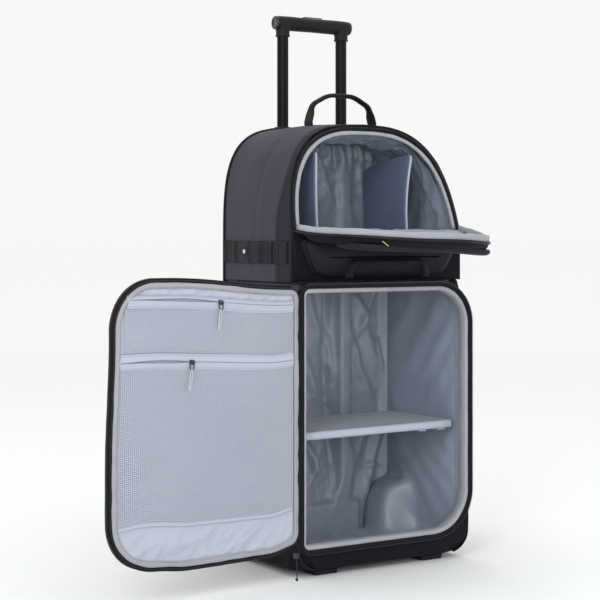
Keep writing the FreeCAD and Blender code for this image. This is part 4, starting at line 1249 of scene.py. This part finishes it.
rings = []
for shrink, out in ((0, 0), (-0.5, 6), (0.5, 12), (4, 18), (9, 22), (16, 25), (24, 26.5), (31, 27), (36.5, 27)):
    ring = []
    for k in range(120):
        x, z = pocket_outline(k / 120, shrink)
        belly = mix(0.55, 1.0, smooth(556, 612, z))
        lump = 2.4 * (ridge((x, 0, z * 1.6 + x * 0.2), 48, 43.7) - 0.25) * smooth(8, 20, out)
        ring.append((x, -111 - out * belly - lump, z))
    rings.append(ring)
pocket = outward(loft("organiser_pocket_cloth", rings))
finish(thicken(pocket, 1.5, -1.0, 1), dark_cloth, "bag", ["front_pocket"])
pocket_rim = []
for k in range(120):
    x, z = pocket_outline(k / 120, 1.5)
    pocket_rim.append((x, -111 - 13 * mix(0.55, 1.0, smooth(556, 612, z)), z))
pocket_piping = sweep("organiser_pocket_piping", pocket_rim, round_profile(1.7, 8), (0, -1, 0))
finish(pocket_piping, black_tape)

webbing = woven("black ribbed nylon webbing", "#09090D", "#17171F", 1.5, 0.5, 0.05, 0.3, 9.0, 0.16)


def bent_path(corners, step=4.0):
    """Points along straight runs with rounded turns, each corner (x, z, radius)."""
    path = [Vector(corners[0][:2])]
    for before, here, after in zip(corners, corners[1:], corners[2:]):
        spot, back, on = Vector(here[:2]), Vector(before[:2]), Vector(after[:2])
        back, on = (back - spot).normalized(), (on - spot).normalized()
        trim = here[2] / math.tan(back.angle(on) / 2)
        start, end = spot + back * trim, spot + on * trim
        for k in range(9):
            share = k / 8
            path.append(start.lerp(spot, share).lerp(spot.lerp(end, share), share))
    path.append(Vector(corners[-1][:2]))
    even = [path[0]]
    for spot in path[1:]:
        gap = (spot - even[-1]).length
        pieces = max(1, round(gap / step))
        origin = even[-1]
        even += [origin.lerp(spot, k / pieces) for k in range(1, pieces + 1)]
    return even


grab_route = bent_path([(-90, 566, 0), (-82, 587, 9), (82, 587, 9), (90, 566, 0)])
grab = sweep("grab_handle_webbing", [(spot.x, -143, spot.y) for spot in grab_route],
             [(5, -1.2), (5.5, 0), (5, 1.2), (0, 2.6), (-5, 1.2), (-5.5, 0), (-5, -1.2), (0, -2.2)], (0, -1, 0),
             closed=False, wobble=0.05)
finish(grab, webbing, "grab_handle", ["grab_handle"])
for name, sign in (("left", -1), ("right", 1)):
    root = sweep(f"grab_root_{name}", [(sign * 90.5, -142 + 0.1 * k, 569 - 2.2 * k) for k in range(6)],
                 [(8, -1.2), (8, 1.2), (-8, 1.2), (-8, -1.2)], (0, -1, 0), closed=False)
    finish(root, webbing, None)
    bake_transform(root)

# ------------------------------------------------------------------ side handle
# A padded webbing handle lies flat along the left side and is bar-tacked in four places, with a small bright snap.
def side_band_point(u, v):
    y, z = mix(138, -100, u), mix(585, 627, v)
    tacks = sum(math.exp(-((y - at) / 2.2) ** 2) for at in (134, 92, 36, -9, -50))
    puff = 1.5 * (1 - min(1, tacks)) * math.sin(math.pi * v) ** 0.5 * (1.0 if y > -48 else 0.35)
    wall = mix(197.5, 194.5, smooth(-100, 140, y)) + 4 * math.sin(math.pi * smooth(-110, 142, y)) + 4.4
    return (-wall - puff - 0.15 * math.sin(y / 1.9), y, z)


side_band = sheet_of("side_handle_webbing", 160, 10, side_band_point)
finish(thicken(side_band, 1.6, 0.0), webbing, "bag", ["side_handle"])
tack_lines = []
for at in (134, 128, 92, 86, 36, 30, -9, -15, -48):
    tack_lines.append(([Vector(side_band_point((138 - at) / 238, k / 12)) + Vector((-1.2, 0, 0)) for k in range(13)],
                       False))
tacks = bits_along("side_handle_bar_tacks", tack_lines, 1.5, (0.9, 3.4, 0.7), (-1, 0, 0), stitch_black)
finish(tacks, stitch_black)

bright = bpy.data.materials.new("bright nickel snap")
bright.use_nodes = True
bright_tree = bright.node_tree
bright_where = add_node(bright_tree, "ShaderNodeTexCoord")
bright_marks = add_node(bright_tree, "ShaderNodeTexNoise", {"Vector": bright_where.outputs["Object"], "Scale": 700.0})
bright_rough = add_node(bright_tree, "ShaderNodeMapRange", {"Value": bright_marks.outputs["Fac"], "To Min": 0.12,
                                                            "To Max": 0.3})
bright_tree.links.new(bright_rough.outputs[0], bright_tree.nodes["Principled BSDF"].inputs["Roughness"])
bright_tree.nodes["Principled BSDF"].inputs["Base Color"].default_value = srgb("#D8D6D0")
bright_tree.nodes["Principled BSDF"].inputs["Metallic"].default_value = 1.0


def spun(name, profile, middle, axis, sides=40):
    """A turned shape: profile pairs (along the axis, radius) round an axis through a point."""
    axis = Vector(axis).normalized()
    first = axis.orthogonal().normalized()
    second = axis.cross(first)
    points, faces = [], []
    for along, radius in profile:
        for k in range(sides):
            angle = math.tau * k / sides
            points.append(Vector(middle) + axis * along + (first * math.cos(angle) + second * math.sin(angle)) * radius)
    for row in range(len(profile) - 1):
        for k in range(sides):
            after = (k + 1) % sides
            faces.append((row * sides + k, row * sides + after, (row + 1) * sides + after, (row + 1) * sides + k))
    faces.append(tuple(range(sides)))
    faces.append(tuple((len(profile) - 1) * sides + k for k in reversed(range(sides))))
    return outward(build(name, points, faces))


snap_at = Vector(side_band_point((138 - 53) / 238, 0.52))
snap = spun("side_snap", [(-1, 4.6), (0.6, 4.6), (1.4, 4.0), (1.8, 2.6), (1.9, 0.3)], snap_at, (-1, 0, 0), 24)
finish(snap, bright)

# ------------------------------------------------------------------ carry handle
# Webbing 25 mm wide comes flat out of the top seam, is folded in half and stitched for the grip, and comes back
# flat on the other side. It stands up by its own stiffness and can be laid down either way.
handle_route = bent_path([(-74, 838, 0), (-77, 862, 14), (-68, 897, 22), (-30, 917, 60), (30, 917, 60), (68, 897, 22),
                          (77, 862, 14), (74, 838, 0)], 3.0)
loops = []
count = len(handle_route)
for number, spot in enumerate(handle_route):
    before, after = handle_route[max(0, number - 1)], handle_route[min(count - 1, number + 1)]
    along = (after - before).normalized()
    out = Vector((-along.y, along.x))
    folded = smooth(874, 893, spot.y)
    half_wide = mix(15.0, 8.0, folded)
    half_thick = mix(1.2, 4.2, folded)
    loop = []
    for k in range(16):
        angle = math.tau * k / 16
        across = half_wide * math.copysign(abs(math.cos(angle)) ** mix(0.35, 0.7, folded), math.cos(angle))
        high = half_thick * math.copysign(abs(math.sin(angle)) ** mix(0.6, 0.8, folded), math.sin(angle))
        twist = 1.0 * math.sin(spot.x / 26)
        loop.append((spot.x + out.x * high, 20 + across + twist * 0.4, spot.y + out.y * high))
    loops.append(loop)
carry = loft("carry_handle_webbing", loops)
work = bmesh.new()
work.from_mesh(carry.data)
bmesh.ops.holes_fill(work, edges=[edge for edge in work.edges if edge.is_boundary])
work.to_mesh(carry.data)
work.free()
finish(outward(carry), webbing, None, ["carry_handle"])
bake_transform(carry)
grip_edge = []
for number, spot in enumerate(handle_route):
    if spot.y > 888:
        grip_edge.append((spot.x, 12.6, spot.y))
carry_stitches = bits_along("carry_handle_stitches", [(grip_edge, False)], 3.6, (2.6, 0.6, 0.6), (0, -1, 0), stitch_black)
finish(carry_stitches, stitch_black, "carry_handle")

# ------------------------------------------------------------------ trolley handle
# Two satin black anodised tubes slide in outer tubes behind the lining. A moulded soft-touch grip bar with flared
# elbows joins them, with glossy end caps and a flush release button on top.
def plastic(name, dark, light, rough_low, rough_high, grain, depth, coat=0.0):
    """Moulded or anodised surface: slightly uneven tone, fine pebbled grain and rubbed patches of gloss."""
    made = bpy.data.materials.new(name)
    made.use_nodes = True
    tree = made.node_tree
    shader = tree.nodes["Principled BSDF"]
    where = add_node(tree, "ShaderNodeTexCoord")
    rubbed = add_node(tree, "ShaderNodeTexNoise", {"Vector": where.outputs["Object"], "Scale": 14.0, "Detail": 5.0})
    tone = add_node(tree, "ShaderNodeValToRGB", {"Fac": rubbed.outputs["Fac"]})
    tone.color_ramp.elements[0].position, tone.color_ramp.elements[1].position = 0.35, 0.7
    tone.color_ramp.elements[0].color, tone.color_ramp.elements[1].color = srgb(dark), srgb(light)
    tree.links.new(tone.outputs[0], shader.inputs["Base Color"])
    gloss = add_node(tree, "ShaderNodeMapRange", {"Value": rubbed.outputs["Fac"], "From Min": 0.3, "From Max": 0.7,
                                                  "To Min": rough_low, "To Max": rough_high})
    tree.links.new(gloss.outputs[0], shader.inputs["Roughness"])
    pebble = add_node(tree, "ShaderNodeTexVoronoi", {"Vector": where.outputs["Object"], "Scale": 1000.0 / grain})
    bump = add_node(tree, "ShaderNodeBump", {"Height": pebble.outputs["Distance"], "Strength": 0.5,
                                             "Distance": depth * MM})
    tree.links.new(bump.outputs[0], shader.inputs["Normal"])
    shader.inputs["Coat Weight"].default_value = coat
    return made


anodised = plastic("satin black anodised aluminium tube", "#0A0A0D", "#121217", 0.28, 0.36, 0.5, 0.01)
anodised.node_tree.nodes["Principled BSDF"].inputs["Specular IOR Level"].default_value = 0.1
moulded = plastic("black moulded ABS", "#09090B", "#131317", 0.42, 0.55, 1.2, 0.05)
moulded.node_tree.nodes["Principled BSDF"].inputs["Specular IOR Level"].default_value = 0.25
glossy = plastic("glossy black ABS", "#08080A", "#111114", 0.12, 0.2, 2.0, 0.005, 0.3)
soft_touch = plastic("soft-touch black rubber over nylon", "#0B0B0E", "#17171B", 0.5, 0.62, 1.4, 0.06)
soft_touch.node_tree.nodes["Principled BSDF"].inputs["Specular IOR Level"].default_value = 0.2


def repaint(material, *names):
    """Puts a finished material on CAD nodes whose shape is already right."""
    for name in names:
        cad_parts[name].data.materials.clear()
        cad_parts[name].data.materials.append(material)


repaint(anodised, "inner_tube_left", "inner_tube_right", "outer_tube_left", "outer_tube_right")
repaint(moulded, "lock_foot_left", "lock_foot_right", "guide_bush_left", "guide_bush_right", "tube_bracket",
        "tube_collar", "wheel_well_left", "wheel_well_right")
repaint(glossy, "release_button")

TUBE_X, TUBE_Y, GRIP_Z = 71.5, 124, 1069
grip_parts = [spun("bar", [(-88, 13.2), (-84, 14.2), (-60, 14.8), (0, 14.2), (60, 14.8), (84, 14.2), (88, 13.2)],
                   (0, TUBE_Y, GRIP_Z), (1, 0, 0), 48)]
for sign in (-1, 1):
    grip_parts.append(spun("elbow", [(0, 13.0), (1.5, 13.8), (10, 14.0), (20, 15.6), (25, 15.4)],
                           (sign * TUBE_X, TUBE_Y, 1042), (0, 0, 1), 40))
grip_blend = join("grip_skin", grip_parts)
blender_mesh = grip_blend.modifiers.new("skin", "REMESH")
blender_mesh.mode = "VOXEL"
blender_mesh.voxel_size = 1.3 * MM
softer = grip_blend.modifiers.new("soft", "SMOOTH")
softer.factor = 0.6
softer.iterations = 6
depsgraph = bpy.context.evaluated_depsgraph_get()
grip_mesh = bpy.data.meshes.new_from_object(grip_blend.evaluated_get(depsgraph))
bpy.data.objects.remove(grip_blend)
grip_mesh.name = "grip_skin"
for polygon in grip_mesh.polygons:
    polygon.use_smooth = True
for corner in grip_mesh.vertices:
    spot = corner.co / MM
    flat = smooth(26, 23.5, abs(spot.x)) * smooth(9.5, 8, abs(spot.y - TUBE_Y)) * smooth(1076, 1080, spot.z)
    spot.z = mix(spot.z, min(spot.z, 1080.5), flat)
    corner.co = spot * MM
grip = bpy.data.objects.new("grip_skin", grip_mesh)
scene.collection.objects.link(grip)
finish(grip, soft_touch, "trolley", ["grip"])
for name, sign in (("left", -1), ("right", 1)):
    cap = spun(f"grip_end_{name}", [(-1, 13.3), (1.2, 13.9), (2.6, 13.4), (3.6, 11.6), (3.9, 8), (3.2, 7.2), (3.1, 0.4)],
               (sign * 88, TUBE_Y, GRIP_Z), (sign, 0, 0), 48)
    finish(cap, glossy, "trolley", [f"grip_cap_{name}"])
    collar_ring = spun(f"tube_ring_{name}", [(0, 15), (0, 18.5), (1.6, 18.2), (3.2, 16.2), (3.6, 12.4), (0, 12.4)],
                       (sign * TUBE_X, TUBE_Y, 854.5), (0, 0, 1), 40)
    finish(collar_ring, moulded, "bag")
    rim = spun(f"elbow_rim_{name}", [(-1, 12), (-1, 14.3), (0, 14.9), (1.6, 14.9), (2.6, 14.2), (2.6, 12)],
               (sign * TUBE_X, TUBE_Y, 1042.5), (0, 0, 1), 40)
    finish(rim, moulded, "trolley")

# ------------------------------------------------------------------ shelf and dividers
# The shelf is a foam board in a sewn cover of the lining cloth, darker than the walls' lining as painted shade on its
# top, with pale edges and two small tabs that hold it to the walls. The dividers are foam under slate-blue brushed
# cloth, bowed by their fit, with pale piping in front.
shelf_cover_with_painted_shade = woven("lining over foam board, darkened as painted shade", "#636B7A", "#818999", 1.2, 0.55, 0.3, 0.1, 7.0)
edge_cloth = woven("pale grey cover edging", "#A0A5B3", "#B4B8C5", 1.2, 0.55, 0.2, 0.1, 7.0)
brushed = woven("slate blue brushed tricot", "#505A74", "#657089", 0.8, 0.8, 0.4, 0.06, 12.0)


def board(name, outline, thick, place, levels=1):
    """A padded board: rounded edges and slightly hollow faces, from an outline and a place(a, b, across) function."""
    middle_a = sum(spot.x for spot in outline) / len(outline)
    middle_b = sum(spot.y for spot in outline) / len(outline)
    centre = Vector((middle_a, middle_b))
    half = thick / 2
    rings = []
    for share, shrink, across in ((0, 0, half), (0.15, 0, half), (0.3, 0, half), (0.6, 0, half), (0.86, 0, half), (1, 7, half),
                                  (1, 3, half * 0.96), (1, 1, half * 0.75), (1, 0, half * 0.35), (1, 0, -half * 0.35),
                                  (1, 1, -half * 0.75), (1, 3, -half * 0.96), (1, 7, -half), (0.86, 0, -half),
                                  (0.6, 0, -half), (0.3, 0, -half), (0.15, 0, -half), (0, 0, -half)):
        ring = []
        for spot in outline:
            inward = (centre - spot).normalized()
            flat = centre + (spot - centre) * share + inward * (shrink if share == 1 else 0)
            dent = 1.1 * (ridge((flat.x, flat.y, across), 50, 51.2) - 0.3) * (1 if share < 1 else 0.2)
            ring.append(place(flat.x, flat.y, across + math.copysign(dent, across)))
        rings.append(ring)
    return outward(loft(name, rings))


shelf_outline = rounded_loop([(-183, -109, 9), (183, -109, 9), (183, 98, 12), (-183, 98, 12)], 5, 16)


def on_shelf(x, y, across):
    """The board sags a little at its left front and lifts at the right."""
    return (x, y, 262.5 + across + 1.6 * (x / 183) * smooth(98, -109, y) - 0.6)


shelf = board("shelf_board", shelf_outline, 14.4, on_shelf)
finish(thicken(shelf, 0.4, -1.0), shelf_cover_with_painted_shade, "shelf", ["shelf"])
front_edge = [on_shelf(x, -109.2, 0) for x in range(-178, 179, 4)]
shelf_edge = sweep("shelf_front_edge", front_edge, [(7.6, -1), (6.6, 1.6), (3, 2.8), (-3, 2.8), (-6.6, 1.6), (-7.6, -1),
                                                     (-6.6, -6), (6.6, -6)], (0, -1, 0), closed=False, wobble=0.05)
finish(shelf_edge, edge_cloth, "shelf")
for number, x in enumerate((112, 158)):
    tab = rounded_block(f"shelf_tab_{number}", (x - 9, -104, 251.4), (x + 9, -78, 254.8), 1.2, lambda a, b, c: (a, b, c))
    finish(tab, edge_cloth, "shelf")

for name, sign, top_shift, low_shift in (("left", -1, -9, -4), ("right", 1, 4, -2)):
    outline = rounded_loop([(-76, 561, 6), (94, 561, 8), (94, 776, 30), (-66, 801, 12)], 6, 14)

    def on_divider(y, z, across):
        up = (z - 556) / 250
        front = smooth(98, -78, y)
        bow = sign * 108 + (low_shift if sign < 0 else 0) + (top_shift - low_shift) * up ** 2 * front * (1 if sign > 0 else 0.6)
        bow += (-14 if sign > 0 else -5) * math.sin(math.pi * up) * front
        wave = 3 * math.sin(y / 60 + up * 2) * (1 - front)
        return (bow + across + wave, y, z)

    divider = board(f"divider_board_{name}", outline, 8.4, on_divider)
    finish(thicken(divider, 0.4, -1.0), brushed, f"{name}_divider", [f"divider_{name}"])
    front_line = [spot for spot in outline if spot.x < mix(-72, -60, smooth(560, 800, spot.y)) and 560 < spot.y < 806]
    front_line = sorted(front_line, key=lambda spot: spot.y)
    path = [Vector(on_divider(spot.x, spot.y, 0)) for spot in front_line]
    piping = sweep(f"divider_piping_{name}", path, round_profile(2.3, 8), (0, -1, 0), closed=False)
    finish(piping, edge_cloth, f"{name}_divider")

# ------------------------------------------------------------------ base, feet and wheels
# A moulded tray with two skids in front, and two in-line wheels behind on steel bolts. The tyres are soft rubber
# with rounded shoulders, on spoked nylon hubs with ball bearings.
repaint(moulded, "base_tray", "front_foot_left", "front_foot_right")
tyre_rubber = plastic("black moulded polyurethane tyre", "#0E0E10", "#1B1B1D", 0.5, 0.7, 0.9, 0.05)
hub_nylon = plastic("dark grey glass-filled nylon", "#26262A", "#34343A", 0.35, 0.5, 1.0, 0.03)
steel = plastic("zinc-plated steel", "#9B9BA0", "#B9B9BE", 0.22, 0.4, 0.7, 0.01)
steel.node_tree.nodes["Principled BSDF"].inputs["Metallic"].default_value = 1.0
repaint(steel, "axle_bolt_left", "axle_bolt_right", "wheel_bearings_left", "wheel_bearings_right")
for name, sign in (("left", -1), ("right", 1)):
    middle_point = (sign * 163, 108, 41)
    tyre = spun(f"tyre_{name}", [(-14, 30.2), (-16.4, 33), (-16.6, 36), (-14.4, 39), (-10, 40.6), (-4.6, 40.95),
                                 (-4.2, 40.0), (-2.6, 40.0), (-2.2, 41), (2.2, 41), (2.6, 40.0), (4.2, 40.0),
                                 (4.6, 40.95), (10, 40.6), (14.4, 39), (16.6, 36), (16.4, 33), (14, 30.2)],
                middle_point, (1, 0, 0), 72)
    work = bmesh.new()
    work.from_mesh(tyre.data)
    caps = [face for face in work.faces if len(face.verts) > 20]
    bmesh.ops.delete(work, geom=caps, context="FACES_ONLY")
    rims = [edge for edge in work.edges if edge.is_boundary]
    bmesh.ops.bridge_loops(work, edges=rims)
    bmesh.ops.recalc_face_normals(work, faces=work.faces)
    work.to_mesh(tyre.data)
    work.free()
    finish(tyre, tyre_rubber, f"{name}_wheel", [f"wheel_tyre_{name}"])
    hub_parts = []
    for inner, outer in (((-14, 26.5), (-14, 30.1)), ((-14, 11.1), (-14, 15.2))):
        hub_parts.append(spun("ring", [(-14, inner[1]), (-14, outer[1]), (14, outer[1]), (14, inner[1])],
                              middle_point, (1, 0, 0), 60))
        work = bmesh.new()
        work.from_mesh(hub_parts[-1].data)
        bmesh.ops.delete(work, geom=[face for face in work.faces if len(face.verts) > 20], context="FACES_ONLY")
        bmesh.ops.bridge_loops(work, edges=[edge for edge in work.edges if edge.is_boundary])
        bmesh.ops.recalc_face_normals(work, faces=work.faces)
        work.to_mesh(hub_parts[-1].data)
        work.free()
    for k in range(6):
        turn = math.tau * k / 6

        def on_spoke(a, b, c):
            return (middle_point[0] + a, middle_point[1] + b * math.cos(turn) - c * math.sin(turn),
                    middle_point[2] + b * math.sin(turn) + c * math.cos(turn))

        hub_parts.append(rounded_block("spoke", (-11, 14.4, -2.6), (11, 27.2, 2.6), 0.8, on_spoke))
    web = spun("web", [(-2, 14), (-2, 27.4), (2, 27.4), (2, 14)], middle_point, (1, 0, 0), 60)
    work = bmesh.new()
    work.from_mesh(web.data)
    bmesh.ops.delete(work, geom=[face for face in work.faces if len(face.verts) > 20], context="FACES_ONLY")
    bmesh.ops.bridge_loops(work, edges=[edge for edge in work.edges if edge.is_boundary])
    bmesh.ops.recalc_face_normals(work, faces=work.faces)
    work.to_mesh(web.data)
    work.free()
    hub = join(f"hub_{name}", hub_parts + [web])
    finish(hub, hub_nylon, f"{name}_wheel", [f"wheel_hub_{name}"])

low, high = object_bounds()
